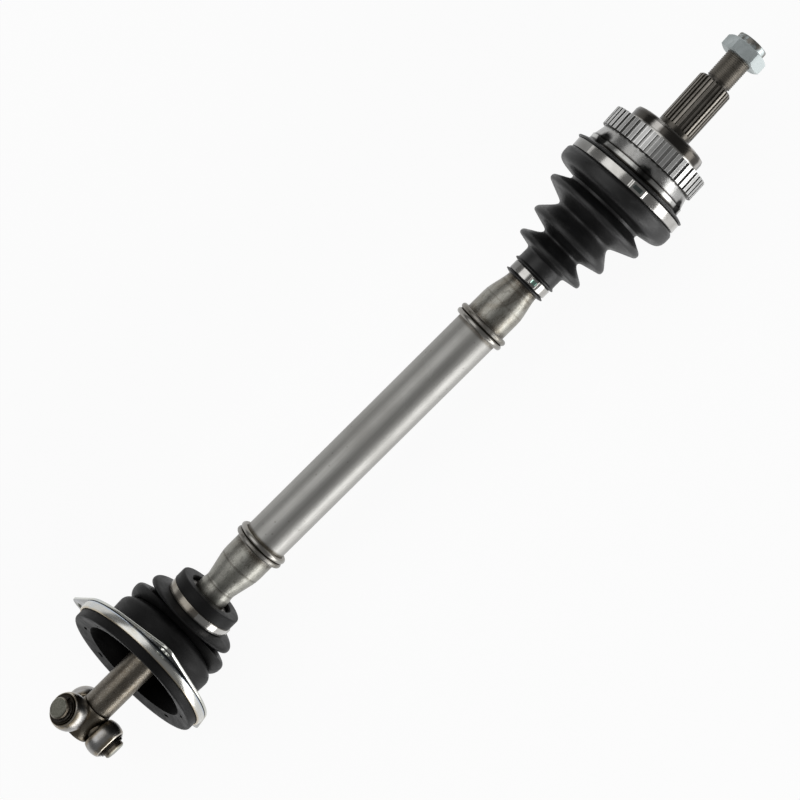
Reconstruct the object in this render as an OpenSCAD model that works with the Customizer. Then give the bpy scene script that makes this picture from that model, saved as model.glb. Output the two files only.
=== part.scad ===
// Front drive shaft with a gearbox-side tripod joint and a wheel-side ball joint, lying on a bench.
// The origin is the tripod's centre, +X runs along the shaft to the wheel end and +Z is up.
// Lengths are millimetres. The plate at the gearbox end and the wheel-side joint lie as they fell.

/* [Shaft] */
// Diameter of the tube
tube_d = 35; // [33:0.5:38]
// Wall of the tube
tube_wall = 3.5; // [2:0.5:5]
// Length of the tube between its two welds
tube_l = 230; // [150:1:400]
// Tripod centre to the inner weld
inner_stub_l = 189; // [185:1:240]
// Outer weld to the centre of the ball joint
outer_stub_l = 156; // [150:1:220]
// Height of the weld flash over the tube
flash_rise = 4; // [2.5:0.1:4.2]
// Thickness of one bead of weld flash
bead_d = 4.4; // [3:0.2:5]
// Depth of the hole in each stub behind its weld
weld_hole_l = 14; // [6:1:18]
// Diameter of the shaft between the tripod and the boot bearing
journal_d = 24.4; // [22:0.2:26]
// Diameter of the waist beside the boot bearing
waist_d = 25.4; // [23:0.2:27]
// Length of the cone from the waist to the tube's diameter
inner_cone_l = 21.5; // [14:0.5:22]
// Diameter where the wheel-side boot grips the shaft
boot_seat_d = 27; // [25.2:0.2:29]
// Length of the cone down to the boot's seat
outer_cone_l = 17.5; // [10:0.5:22]
// Diameter of the shaft inside the wheel-side boot
joint_shaft_d = 23.6; // [22.6:0.2:24.6]

/* [Tripod] */
// Turn of the first trunnion about the shaft, from +Y
trunnion_angle = 52; // [0:1:119]
// Diameter of the spider's hub
hub_d = 25.8; // [24:0.2:26]
// Length of the spider's hub
hub_l = 26; // [24:0.5:32]
// Diameter of the splined end that holds the spider
spider_spline_d = 18.8; // [16:0.2:20]
// Diameter of a trunnion
trunnion_d = 16.5; // [14:0.1:17]
// Tripod centre to the end of a trunnion
trunnion_reach = 33.5; // [33:0.1:38]
// Diameter of a roller over its rounded tread
roller_d = 29.4; // [28:0.2:32]
// Width of a roller
roller_w = 14.3; // [12:0.1:14.6]
// Diameter of a needle
needle_d = 2; // [1.6:0.1:2.4]
// Length of a needle
needle_l = 11; // [8:0.5:11.5]
// Thickness of a roller's washer
washer_t = 0.9; // [0.6:0.1:1.2]
// Diameter of a roller's washer
washer_d = 22.5; // [20:0.5:24]
// Thickness of a retaining ring
ring_t = 1.2; // [0.8:0.1:1.4]
// Height of a retaining ring above the part that it grips
ring_rise = 1.6; // [1:0.1:2]
// Depth of a retaining ring's groove
ring_sink = 0.9; // [0.5:0.1:1.2]

/* [Boot bearing] */
// Tripod centre to the middle of the bearing
bearing_x = 127; // [120:0.5:130]
// Width of the bearing
bearing_w = 12; // [10:0.5:13]
// Bore of the bearing
bearing_bore = 27.4; // [26.4:0.1:28.4]
// Outside diameter of the bearing
bearing_d = 47; // [45:0.5:47.5]
// Diameter of a bearing ball
bearing_ball_d = 5.2; // [4.4:0.1:5.6]
// Number of bearing balls
bearing_balls_n = 14; // [10:1:16]
// Thickness of a bearing ring at its shoulders
bearing_ring_t = 2.8; // [2.4:0.1:3]
// Thickness of a bearing seal
seal_t = 0.8; // [0.5:0.1:1]

/* [Gearbox-side boot] */
// Lean of the plate from square to the shaft, as it lies on the bench
plate_tilt = 29; // [0:1:32]
// Tripod-side face of the flange to the point about which the boot bends
pivot_back = 25.9; // [18:0.1:30]
// Diameter of the rubber flange
flange_d = 118.8; // [112:0.2:124]
// Diameter of the flange's mouth
mouth_d = 89.4; // [84:0.2:94]
// Thickness of the rubber flange
flange_t = 13.9; // [10:0.1:16]
// Wall of the boots
boot_wall = 3; // [2:0.1:3.2]
// Diameter of the neck that passes the plate
neck_d = 87.8; // [86:0.2:90]
// Width of the fold beside the plate
inner_fold_1_w = 24.3; // [20:0.1:26]
// Diameter of the fold beside the plate
inner_fold_1_d = 90.2; // [89:0.2:96]
// Width of the middle fold
inner_fold_2_w = 17.4; // [15:0.1:20]
// Diameter of the middle fold
inner_fold_2_d = 89.8; // [84:0.2:96]
// Width of the small fold
inner_fold_3_w = 11.3; // [10:0.1:14]
// Diameter of the small fold
inner_fold_3_d = 78.6; // [72:0.2:84]
// Diameter of the valley between the first and the middle fold
inner_valley_1_d = 78; // [74:0.2:82]
// Diameter of the valley between the middle and the small fold
inner_valley_2_d = 63.2; // [60:0.2:68]
// Thickness of the rubber collar round the bearing
collar_wall = 4.6; // [4:0.1:7]
// Length of the rubber collar beside its clamp
collar_l = 10.7; // [8:0.1:12]
// Lip of the collar beyond the bearing
collar_lip = 2.8; // [2:0.1:4]
// Diameter of the hole in the collar's lip
lip_hole_d = 36; // [34:0.2:40]
// Thickness of the rubber under the inner clamp
inner_seat_wall = 3.3; // [2.5:0.1:3.8]

/* [Gearbox plate] */
// Thickness of the steel plate
plate_t = 2; // [1.5:0.1:3]
// Height of the rolled rim that holds the rubber
rim_h = 7.1; // [4:0.1:9]
// Tripod axis to a bolt hole
bolt_circle_r = 69; // [67:0.5:76]
// Diameter of a bolt hole
bolt_hole_d = 8.5; // [6:0.1:10]
// Radius of an ear round its bolt hole
ear_r = 9; // [8:0.1:12]
// Turn of the upper ear about the plate's own axis, from straight up
ear_turn = 5; // [-60:1:60]

/* [Wheel-side boot] */
// Bend of the ball joint as it lies, to the side
joint_bend = 3.1; // [0:0.1:6]
// Width of the small end's outer bead
small_bead_w = 2.9; // [2:0.1:4]
// Height of the small end's outer bead over the clamp's seat
small_bead_rise = 2.1; // [1.5:0.1:3]
// Thickness of the rubber under the small clamp
small_seat_wall = 2.1; // [1.6:0.1:3]
// Height of the second bead over the clamp's seat
second_bead_rise = 2.9; // [2:0.1:4]
// Width of the second bead
second_bead_w = 4.2; // [3:0.1:5]
// Thickness of the neck before the folds
boot_neck_wall = 3.5; // [3:0.1:4]
// Length of the neck before the folds
boot_neck_l = 8.4; // [6:0.1:12]
// Width of the first fold
outer_fold_1_w = 13.8; // [12:0.1:16]
// Diameter of the first fold
outer_fold_1_d = 59.4; // [54:0.2:64]
// Width of the second fold
outer_fold_2_w = 22.1; // [20:0.1:25]
// Diameter of the second fold
outer_fold_2_d = 68.4; // [62:0.2:74]
// Width of the third fold
outer_fold_3_w = 21; // [19:0.1:24]
// Diameter of the third fold
outer_fold_3_d = 86; // [80:0.2:92]
// Diameter of the valley after the first fold
outer_valley_1_d = 34.4; // [33:0.2:37]
// Diameter of the valley after the second fold
outer_valley_2_d = 49.2; // [46:0.2:52]
// Diameter of the valley after the third fold
outer_valley_3_d = 63; // [60:0.2:66]
// Flat length of each valley
valley_flat = 3.2; // [2:0.1:4]
// Width of the big shoulder beside the large clamp
shoulder_w = 19; // [17:0.1:22]
// Height of the big shoulder over the large clamp's seat
shoulder_rise = 2.6; // [1.6:0.1:4]
// Thickness of the rubber under the large clamp
large_seat_wall = 2.6; // [2:0.1:3.4]
// Width of the boot's end lip
end_lip_w = 3.2; // [2:0.1:4]
// Height of the boot's end lip over the large clamp's seat
end_lip_rise = 2.1; // [1.2:0.1:3]

/* [Clamps] */
// Thickness of a clamp band
band_t = 0.7; // [0.5:0.05:0.9]
// Width of the inner boot's clamp
inner_clamp_w = 5.8; // [5:0.1:7]
// Width of the small clamp
small_clamp_w = 7.2; // [6:0.1:8]
// Width of the large clamp
large_clamp_w = 7.3; // [6:0.1:9]
// Angle that the band laps over itself
lap_angle = 62; // [30:1:90]

/* [Ball joint] */
// Radius on which the balls run
pitch_r = 24.9; // [24:0.1:25.4]
// Diameter of a ball
ball_d = 15.2; // [14.6:0.1:15.8]
// Room round a ball in its track
track_room = 1.05; // [0.95:0.05:1.2]
// Turn of the first track about the stub, from +Y
track_angle = 6; // [0:1:59]
// Radius of the cage's outer guide
cage_r = 27.1; // [26.6:0.1:27.6]
// Thickness of the cage
cage_t = 4.2; // [3.4:0.1:4.4]
// Width of the cage
cage_w = 21; // [19:0.5:22]
// Width of the inner race
race_w = 22; // [20:0.5:23]
// Depth of the mouth from the joint's centre
bell_mouth = 18; // [16:0.5:18]
// Opening angle of the mouth to each side
mouth_angle = 46; // [45:0.5:47]
// Diameter of the bell where the boot is clamped
bell_d = 88.8; // [88:0.2:89.4]
// Joint centre to the end of the boot's seat
bell_seat_end = -3.6; // [-4.5:0.1:-3]
// Step down from the boot's seat to the land beside it
land_drop = 2.1; // [1.5:0.1:3]
// Joint centre to the end of the land
land_end = 2; // [0:0.1:4]
// Radius of the scoops in the land
scoop_r = 7; // [5:0.1:8]
// Depth of the scoops in the land
scoop_depth = 3.3; // [1:0.1:3.5]
// Height of the bell's edge over the tooth ring's seat
bell_end_rise = 0.5; // [0.3:0.1:1.4]
// Joint centre to the tooth ring
ring_x = 12; // [10:0.1:14]
// Diameter of the bearing shoulder
shoulder_ring_d = 62.2; // [58:0.2:66]
// Length of the bearing shoulder
shoulder_ring_l = 11; // [9:0.1:14]
// Rounding of the bearing shoulder's edge
shoulder_round = 3; // [1:0.1:4]

/* [Tooth ring] */
// Seat diameter of the tooth ring
tooth_ring_bore = 77.2; // [76:0.1:77.4]
// Thickness of the tooth ring over its teeth
tooth_ring_t = 3.3; // [2.8:0.1:4.2]
// Width of the tooth ring
tooth_ring_w = 15.4; // [12:0.1:17]
// Number of teeth
teeth = 44; // [36:1:52]
// Depth of the gaps between the teeth
tooth_gap_depth = 1.9; // [1:0.1:2.2]
// Width of a gap between teeth
tooth_gap_w = 2.5; // [1.6:0.1:3]

/* [Wheel stub] */
// Diameter over the wheel splines
spline_d = 28.2; // [26:0.1:30]
// Number of wheel splines
splines = 27; // [22:1:30]
// Depth of a wheel spline
spline_depth = 1.4; // [0.8:0.1:1.6]
// Length of the plain land before the splines
pilot_l = 5.2; // [3:0.1:8]
// Length of the splines
spline_l = 42; // [34:0.5:50]
// Thread diameter
thread_d = 20; // [18:0.5:22]
// Thread pitch
thread_pitch = 1.5; // [1:0.25:2]
// Length of the thread with its undercut
thread_l = 38; // [36:0.5:50]
// Shoulder to the hub nut
nut_x = 70.6; // [62:0.1:78]
// Hub nut across its flats
nut_af = 30; // [28:0.5:34]
// Height of the hub nut's hexagon
nut_h = 10.4; // [8:0.1:12]
// Diameter of the hub nut's crown
crown_d = 24; // [23:0.1:27]
// Height of the hub nut's crown
crown_h = 5.4; // [4:0.1:7]
// Turn of a hexagon corner about the stub, from +Y
nut_turn = 56; // [0:1:59]

/* [Hidden] */
$fn = 96;

// Clearances: parts pressed together, parts that run on each other, soft parts on hard ones
press_gap = 0.02;
run_gap = 0.08;
soft_gap = 0.3;
// Small room between flat faces
face_gap = 0.15;
// Overshoot of a cut past the face that it opens
past = 1;
// Facets round the boots and points in each rounded corner of their profile
boot_sides = 28;
corner_steps = 2;
// Radius of a bore in facets whose flats clear a round of radius r
function facet_bore(r) = (r + soft_gap) / cos(180 / boot_sides);

// Diameters of the boots that follow the part that they grip
collar_d = bearing_d + 2 * collar_wall;
inner_seat_d = bearing_d + 2 * inner_seat_wall;
small_seat_d = boot_seat_d + 2 * small_seat_wall;
small_bead_d = small_seat_d + 2 * small_bead_rise;
second_bead_d = small_seat_d + 2 * second_bead_rise;
boot_neck_d = boot_seat_d + 2 * boot_neck_wall;
large_seat_d = bell_d + 2 * large_seat_wall;
shoulder_d = large_seat_d + 2 * shoulder_rise;
end_lip_d = large_seat_d + 2 * end_lip_rise;
land_d = bell_d - 2 * land_drop;
bell_end_d = tooth_ring_bore + 2 * bell_end_rise;
tooth_ring_d = tooth_ring_bore + 2 * tooth_ring_t;

// Weld planes and the ball joint's centre, along the shaft
weld_1_x = inner_stub_l;
weld_2_x = weld_1_x + tube_l;
joint_x = weld_2_x + outer_stub_l;
// Small chamfer on shaft ends and steps
chamfer = 1;
bead_r = bead_d / 2;
bead_ring_r = tube_d / 2 + flash_rise - bead_r;

// Tripod, outwards along a trunnion
roller_foot = hub_d / 2 + face_gap;
roller_mid = roller_foot + roller_w / 2;
washer_x = roller_foot + roller_w + face_gap;
ring_x_trunnion = washer_x + washer_t + face_gap / 3;
needle_ring_r = trunnion_d / 2 + run_gap + needle_d / 2;
roller_bore_r = needle_ring_r + needle_d / 2 + run_gap;
needles = floor(360 / (2 * asin((needle_d + run_gap) / (2 * needle_ring_r))));
// Recess in the hub's end for its own retaining ring
hub_recess_l = 4.5;
hub_recess_r = spider_spline_d / 2 + ring_rise + face_gap * 4;
hub_ring_x = -hub_l / 2 + hub_recess_l - ring_t - face_gap / 3;
shaft_end_x = hub_ring_x - ring_t;

// Boot bearing
bearing_x0 = bearing_x - bearing_w / 2;
bearing_x1 = bearing_x + bearing_w / 2;
bearing_pitch_r = (bearing_bore + bearing_d) / 4;
// Length of the bearing's seat past the bearing, and of the step up to it
bearing_seat_past = 8;
bearing_step_l = 2;
waist_run = 4;
bearing_seat_end = bearing_x1 + bearing_seat_past;
waist_x = bearing_seat_end + waist_run;
inner_cone_end = waist_x + inner_cone_l;

// Inner boot before it is bent, from the collar back to the flange
pocket_play = 0.3;
collar_x1 = bearing_x1 + pocket_play + collar_lip;
inner_seat_x1 = collar_x1 - collar_l;
clamp_play = 0.4;
inner_seat_x0 = inner_seat_x1 - inner_clamp_w - clamp_play;
inner_valley_2_x = inner_seat_x0 - inner_fold_3_w;
inner_valley_1_x = inner_valley_2_x - inner_fold_2_w;
plate_back_x = inner_valley_1_x - inner_fold_1_w;
plate_x = plate_back_x - plate_t;
flange_back_x = plate_x - face_gap;
flange_x = flange_back_x - flange_t;
pivot_x = flange_x + pivot_back;
bend_from_x = inner_seat_x0;
bend_to_x = plate_back_x + inner_fold_1_w / 2;
rim_r = flange_d / 2 + soft_gap;
rim_out_r = rim_r + plate_t;
// Edge of the flat plate past the rim's outside
plate_edge = 0.4;
plate_r = rim_out_r + plate_edge;
plate_hole_r = neck_d / 2 + soft_gap;

// Outer boot before it is bent, from the bell back to its small end
boot_end_x = joint_x + bell_seat_end;
large_seat_x1 = boot_end_x - end_lip_w;
large_seat_x0 = large_seat_x1 - large_clamp_w - clamp_play;
outer_valley_3_x = large_seat_x0 - shoulder_w;
outer_valley_2_x = outer_valley_3_x - outer_fold_3_w;
outer_valley_1_x = outer_valley_2_x - outer_fold_2_w;
boot_neck_x1 = outer_valley_1_x - outer_fold_1_w;
second_bead_x1 = boot_neck_x1 - boot_neck_l;
small_seat_x1 = second_bead_x1 - second_bead_w;
small_seat_x0 = small_seat_x1 - small_clamp_w - clamp_play;
boot_small_x = small_seat_x0 - small_bead_w;
// Shaft left bare between its cone and the boot
bare_l = 1.8;
outer_cone_end = boot_small_x - bare_l;
outer_cone_start = outer_cone_end - outer_cone_l;

// Ball joint, in its own frame with the centre at zero
ball_r = ball_d / 2;
track_r = ball_r + track_room;
bell_cavity_r = cage_r + soft_gap;
cage_bore_r = cage_r - cage_t;
race_r = cage_bore_r - soft_gap;
ball_count = 6;
// Angles of the tracks' closed end and of their run out of the mouth
track_end = 43;
track_run = 62;
mouth_r = joint_shaft_d / 2 / cos(mouth_angle) + soft_gap;
race_bore_d = joint_shaft_d - 0.8;
shoulder_x = ring_x + tooth_ring_w + shoulder_ring_l;
spline_x = shoulder_x + pilot_l;
thread_x = spline_x + spline_l;
stub_end_x = thread_x + thread_l;
undercut_l = 2.6;
thread_depth = thread_pitch * 0.6;
nut_bore_r = thread_d / 2 + run_gap;

// Profiles are lists of [distance along the axis, radius, rounding of the corner]
function unit(v) = v / norm(v);
function corner(a, b, c, size) =
    let (r = min(size, 0.48 * norm(a - b), 0.48 * norm(c - b)))
    let (p = b + unit(a - b) * r, q = b + unit(c - b) * r)
    [for (i = [0:corner_steps]) let (u = i / corner_steps) p * (1 - u) ^ 2 + b * 2 * u * (1 - u) + q * u ^ 2];
function flat_point(p) = [p[0], p[1]];
function rounded(path) = let (n = len(path)) [for (i = [0:n - 1])
    each path[i][2] == undef
        ? [flat_point(path[i])]
        : corner(flat_point(path[(i + n - 1) % n]), flat_point(path[i]), flat_point(path[(i + 1) % n]), path[i][2])];

// A part turned on the lathe about the shaft's axis
module turned(path) {
    rotate([0, 90, 0])
        rotate_extrude()
            polygon([for (p = rounded(path)) [p[1], p[0]]]);
}

// A turned ring with a rounded bead of weld flash on it
module turned_with_beads(path, beads) {
    rotate([0, 90, 0])
        rotate_extrude()
            union() {
                polygon([for (p = rounded(path)) [p[1], p[0]]]);
                for (x = beads)
                    translate([bead_ring_r, x])
                        circle(bead_r);
            }
}

// A plain ring along the shaft's axis, from x0 over a length
module hoop(x0, length, inner_r, outer_r) {
    turned([[x0, inner_r], [x0 + length, inner_r], [x0 + length, outer_r], [x0, outer_r]]);
}

// Open retaining ring about +Z with its gap towards +X
module retaining_ring(grip_d) {
    gap_w = grip_d / 4;
    difference() {
        cylinder(h = ring_t, r = grip_d / 2 + ring_rise);
        translate([0, 0, -past])
            cylinder(h = ring_t + 2 * past, r = grip_d / 2 - ring_sink + press_gap);
        translate([0, -gap_w / 2, -past])
            cube([grip_d, gap_w, ring_t + 2 * past]);
    }
}

// Stands a piece built up along +Z on trunnion i
module on_trunnion(i) {
    rotate([trunnion_angle + 120 * i, 0, 0])
        rotate([-90, 0, 0])
            children();
}

// Puts a piece in the ball joint, which takes a share of its bend to the side
module at_joint(share = 1) {
    translate([joint_x, 0, 0])
        rotate([0, 0, share * joint_bend])
            children();
}

// Leans a piece over with the plate about the boot's pivot
module at_plate() {
    translate([pivot_x, 0, 0])
        rotate([0, plate_tilt, 0])
            translate([-pivot_x, 0, 0])
                children();
}

// Share of a bend at x, eased from none at a to all at b
function eased(x, a, b) = let (u = min(1, max(0, (x - a) / (b - a)))) u * u * (3 - 2 * u);
function bent_down(p) =
    let (a = plate_tilt * eased(p.x, bend_from_x, bend_to_x), d = p.x - pivot_x)
    [pivot_x + d * cos(a) + p.z * sin(a), p.y, p.z * cos(a) - d * sin(a)];
function bent_aside(p) =
    let (a = joint_bend * eased(p.x, boot_neck_x1, large_seat_x0), d = p.x - joint_x)
    [joint_x + d * cos(a) - p.y * sin(a), p.y * cos(a) + d * sin(a), p.z];
function ring_point(p, j) = let (a = 360 * (j + 0.5) / boot_sides) [p[0], p[1] * cos(a), p[1] * sin(a)];

// Skin of facets over rings of points, closed on itself both ways
module skin(rings) {
    n = len(rings);
    at = function (i, j) (i % n) * boot_sides + j % boot_sides;
    polyhedron(
        points = [for (ring = rings) each ring],
        faces = [for (i = [0:n - 1], j = [0:boot_sides - 1])
            each [[at(i, j), at(i + 1, j), at(i + 1, j + 1)], [at(i, j), at(i + 1, j + 1), at(i, j + 1)]]]);
}

module inner_stub_shaft() {
    color("#5b5248")
        turned_with_beads([
            [shaft_end_x, 0],
            [shaft_end_x, spider_spline_d / 2],
            [hub_ring_x - face_gap / 3, spider_spline_d / 2],
            [hub_ring_x - face_gap / 3, spider_spline_d / 2 - ring_sink],
            [hub_ring_x + ring_t + face_gap / 3, spider_spline_d / 2 - ring_sink],
            [hub_ring_x + ring_t + face_gap / 3, spider_spline_d / 2],
            [hub_l / 2 + face_gap, spider_spline_d / 2],
            [hub_l / 2 + face_gap, journal_d / 2, chamfer],
            [bearing_x0 - bearing_step_l - chamfer, journal_d / 2],
            [bearing_x0 - chamfer, bearing_bore / 2],
            [bearing_seat_end, bearing_bore / 2, chamfer],
            [waist_x, waist_d / 2, waist_run],
            [inner_cone_end, tube_d / 2, waist_run],
            [weld_1_x, tube_d / 2],
            [weld_1_x, tube_d / 2 - tube_wall],
            [weld_1_x - weld_hole_l, tube_d / 2 - tube_wall, chamfer],
            [weld_1_x - weld_hole_l, 0]],
            [weld_1_x - bead_r]);
}

module shaft_tube() {
    color("#a3a3a1")
        turned_with_beads([
            [weld_1_x, tube_d / 2 - tube_wall],
            [weld_1_x, tube_d / 2],
            [weld_2_x, tube_d / 2],
            [weld_2_x, tube_d / 2 - tube_wall]],
            [weld_1_x + bead_r, weld_2_x - bead_r]);
}

module outer_stub_shaft() {
    seat_end = boot_neck_x1 + chamfer;
    race_end = joint_x + race_w / 2;
    groove = race_end + face_gap / 3;
    color("#5b5248")
        turned_with_beads([
            [weld_2_x + weld_hole_l, 0],
            [weld_2_x + weld_hole_l, tube_d / 2 - tube_wall, chamfer],
            [weld_2_x, tube_d / 2 - tube_wall],
            [weld_2_x, tube_d / 2],
            [outer_cone_start, tube_d / 2, waist_run],
            [outer_cone_end, boot_seat_d / 2, waist_run],
            [seat_end, boot_seat_d / 2],
            [seat_end + (boot_seat_d - joint_shaft_d) / 2, joint_shaft_d / 2],
            [joint_x - race_w / 2 - face_gap / 3, joint_shaft_d / 2],
            [joint_x - race_w / 2 - face_gap / 3, race_bore_d / 2],
            [groove, race_bore_d / 2],
            [groove, race_bore_d / 2 - ring_sink],
            [groove + ring_t + face_gap / 3, race_bore_d / 2 - ring_sink],
            [groove + ring_t + face_gap / 3, race_bore_d / 2],
            [groove + 2 * ring_t, race_bore_d / 2],
            [groove + 2 * ring_t, 0]],
            [weld_2_x + bead_r]);
}

module spider() {
    groove_r = trunnion_d / 2 - ring_sink;
    color("#4f463b")
        difference() {
            union() {
                turned([[-hub_l / 2, 0], [-hub_l / 2, hub_d / 2, 2 * chamfer],
                    [hub_l / 2, hub_d / 2, 2 * chamfer], [hub_l / 2, 0]]);
                for (i = [0:2])
                    on_trunnion(i)
                        rotate_extrude()
                            polygon([[0, 0], [trunnion_d / 2, 0], [trunnion_d / 2, ring_x_trunnion],
                                [groove_r, ring_x_trunnion], [groove_r, ring_x_trunnion + ring_t + face_gap / 3],
                                [trunnion_d / 2, ring_x_trunnion + ring_t + face_gap / 3],
                                [trunnion_d / 2, trunnion_reach - chamfer],
                                [trunnion_d / 2 - chamfer, trunnion_reach], [0, trunnion_reach]]);
            }
            rotate([0, 90, 0])
                cylinder(h = hub_l + 2 * past, r = spider_spline_d / 2 + press_gap, center = true);
            translate([-hub_l / 2 - past, 0, 0])
                rotate([0, 90, 0])
                    cylinder(h = hub_recess_l + past, r = hub_recess_r);
        }
}

module spider_circlip() {
    color("#3b3733")
        translate([hub_ring_x, 0, 0])
            rotate([0, 90, 0])
                retaining_ring(spider_spline_d);
}

module roller(i) {
    color("#8b8272")
        on_trunnion(i)
            translate([0, 0, roller_mid])
                rotate_extrude()
                    intersection() {
                        circle(roller_d / 2);
                        translate([roller_bore_r, -roller_w / 2])
                            square([roller_d, roller_w]);
                    }
}

module needle_set(i) {
    color("#b9b4a8")
        on_trunnion(i)
            for (j = [0:needles - 1])
                rotate([0, 0, 360 * j / needles])
                    translate([needle_ring_r, 0, roller_mid - needle_l / 2])
                        cylinder(h = needle_l, d = needle_d);
}

module roller_washers() {
    color("#6d675c")
        for (i = [0:2])
            on_trunnion(i)
                translate([0, 0, washer_x])
                    difference() {
                        cylinder(h = washer_t, d = washer_d);
                        translate([0, 0, -past])
                            cylinder(h = washer_t + 2 * past, r = trunnion_d / 2 + run_gap);
                    }
}

module roller_circlips() {
    color("#3b3733")
        for (i = [0:2])
            on_trunnion(i)
                translate([0, 0, ring_x_trunnion + face_gap / 6])
                    retaining_ring(trunnion_d);
}

// Half section of a bearing ring with its ball groove
module raceway(inner_r, outer_r) {
    translate([bearing_x, 0, 0])
        rotate([0, 90, 0])
            rotate_extrude()
                difference() {
                    translate([inner_r, -bearing_w / 2])
                        square([outer_r - inner_r, bearing_w]);
                    translate([bearing_pitch_r, 0])
                        circle(bearing_ball_d / 2 + run_gap);
                }
}

module bearing_inner_ring() {
    color("#8d8d88")
        raceway(bearing_bore / 2 + press_gap, bearing_bore / 2 + bearing_ring_t);
}

module bearing_outer_ring() {
    color("#8d8d88")
        raceway(bearing_d / 2 - bearing_ring_t, bearing_d / 2);
}

// Repeats a piece round the bearing's balls
module each_bearing_ball() {
    for (i = [0:bearing_balls_n - 1])
        rotate([360 * i / bearing_balls_n, 0, 0])
            translate([bearing_x, bearing_pitch_r, 0])
                children();
}

module bearing_balls() {
    color("#c4c4c0")
        each_bearing_ball()
            sphere(d = bearing_ball_d);
}

module bearing_cage() {
    // Thickness of the ring that spaces the balls, and its width with a rim past them on both sides
    web_t = 1.6;
    web_w = bearing_ball_d + 2.4;
    color("#7a6a3c")
        difference() {
            hoop(bearing_x - web_w / 2, web_w, bearing_pitch_r - web_t / 2, bearing_pitch_r + web_t / 2);
            each_bearing_ball()
                rotate([-90, 0, 0])
                    cylinder(h = bearing_ball_d, d = bearing_ball_d + 2 * run_gap, center = true);
        }
}

module bearing_seals() {
    // Depth of a seal behind the bearing's face
    inset = 0.4;
    color("#2c2c2c")
        for (x = [bearing_x0 + inset, bearing_x1 - inset - seal_t])
            hoop(x, seal_t, bearing_bore / 2 + bearing_ring_t + run_gap,
                bearing_d / 2 - bearing_ring_t - press_gap);
}

module inner_boot() {
    pocket_r = facet_bore(bearing_d / 2);
    pocket_x0 = bearing_x0 - pocket_play;
    pocket_x1 = bearing_x1 + pocket_play;
    // Crest half widths and roundings of the three folds
    crest_2 = inner_fold_2_w / 4;
    crest_3 = inner_fold_3_w / 4;
    mid_2 = (inner_valley_1_x + inner_valley_2_x) / 2;
    mid_3 = (inner_valley_2_x + inner_seat_x0) / 2;
    crest_1_x = inner_valley_1_x - inner_fold_1_w / 4;
    outside = [
        [flange_x, mouth_d / 2, 0.6],
        [flange_x, flange_d / 2, 1.2],
        [flange_back_x, flange_d / 2, 1],
        [flange_back_x, neck_d / 2],
        [plate_back_x, neck_d / 2],
        [plate_back_x + soft_gap, neck_d / 2 - soft_gap],
        [crest_1_x, inner_fold_1_d / 2, 5],
        [inner_valley_1_x, inner_valley_1_d / 2, 1.2],
        [mid_2 - crest_2, inner_fold_2_d / 2, 4],
        [mid_2 + crest_2, inner_fold_2_d / 2, 4],
        [inner_valley_2_x, inner_valley_2_d / 2, 1],
        [mid_3 - crest_3, inner_fold_3_d / 2, 3],
        [mid_3 + crest_3, inner_fold_3_d / 2, 3],
        [inner_seat_x0, inner_seat_d / 2],
        [inner_seat_x1, inner_seat_d / 2],
        [inner_seat_x1, collar_d / 2, 1],
        [collar_x1, collar_d / 2, 2.2],
        [collar_x1, lip_hole_d / 2]];
    inside = [
        [pocket_x1, lip_hole_d / 2],
        [pocket_x1, pocket_r],
        [pocket_x0, pocket_r],
        [pocket_x0, bearing_pitch_r + boot_wall],
        [pocket_x0 - boot_wall / 2, bearing_pitch_r + boot_wall],
        [mid_3 + crest_3 - boot_wall / 4, inner_fold_3_d / 2 - boot_wall],
        [mid_3 - crest_3 + boot_wall / 4, inner_fold_3_d / 2 - boot_wall],
        [inner_valley_2_x, inner_valley_2_d / 2 - boot_wall],
        [mid_2 + crest_2 - boot_wall / 4, inner_fold_2_d / 2 - boot_wall],
        [mid_2 - crest_2 + boot_wall / 4, inner_fold_2_d / 2 - boot_wall],
        [inner_valley_1_x, inner_valley_1_d / 2 - boot_wall],
        [crest_1_x, inner_fold_1_d / 2 - boot_wall],
        [plate_back_x, neck_d / 2 - boot_wall]];
    profile = rounded(concat(outside, inside));
    color("#333333")
        skin([for (p = profile) [for (j = [0:boot_sides - 1]) bent_down(ring_point(p, j))]]);
}

// Outline of the plate: a disc with an ear drawn out to each bolt between straight sides
module plate_outline() {
    // Depth at which the straight sides run into the round of the disc and of the ear
    nip = 0.6;
    spread = acos((plate_r - ear_r) / bolt_circle_r);
    side = [cos(spread), sin(spread)];
    far_side = [cos(spread), -sin(spread)];
    ear = [bolt_circle_r, 0];
    circle(plate_r);
    for (i = [0:2])
        rotate(120 * i) {
            translate(ear)
                circle(ear_r);
            polygon([(plate_r - nip) * far_side, ear + (ear_r - nip) * far_side,
                ear + (ear_r - nip) * side, (plate_r - nip) * side]);
        }
}

module gearbox_plate() {
    color("#b6b4a6")
        at_plate()
            difference() {
                union() {
                    // Turned so that its own first ear points up, then round by the ear's turn
                    translate([plate_x, 0, 0])
                        rotate([ear_turn, 0, 0])
                            rotate([0, 90, 0])
                                rotate(180)
                                    linear_extrude(plate_t)
                                        plate_outline();
                    turned([[plate_x - rim_h, rim_r], [plate_x - rim_h, rim_out_r, plate_t / 2],
                        [plate_x + plate_t / 2, rim_out_r], [plate_x + plate_t / 2, rim_r]]);
                }
                translate([plate_x - past, 0, 0])
                    rotate([0, 90, 0])
                        cylinder(h = plate_t + 2 * past, r = plate_hole_r);
                for (i = [0:2])
                    rotate([ear_turn + 120 * i, 0, 0])
                        translate([plate_x - past, 0, bolt_circle_r])
                            rotate([0, 90, 0])
                                cylinder(h = plate_t + 2 * past, d = bolt_hole_d);
            }
}

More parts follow.
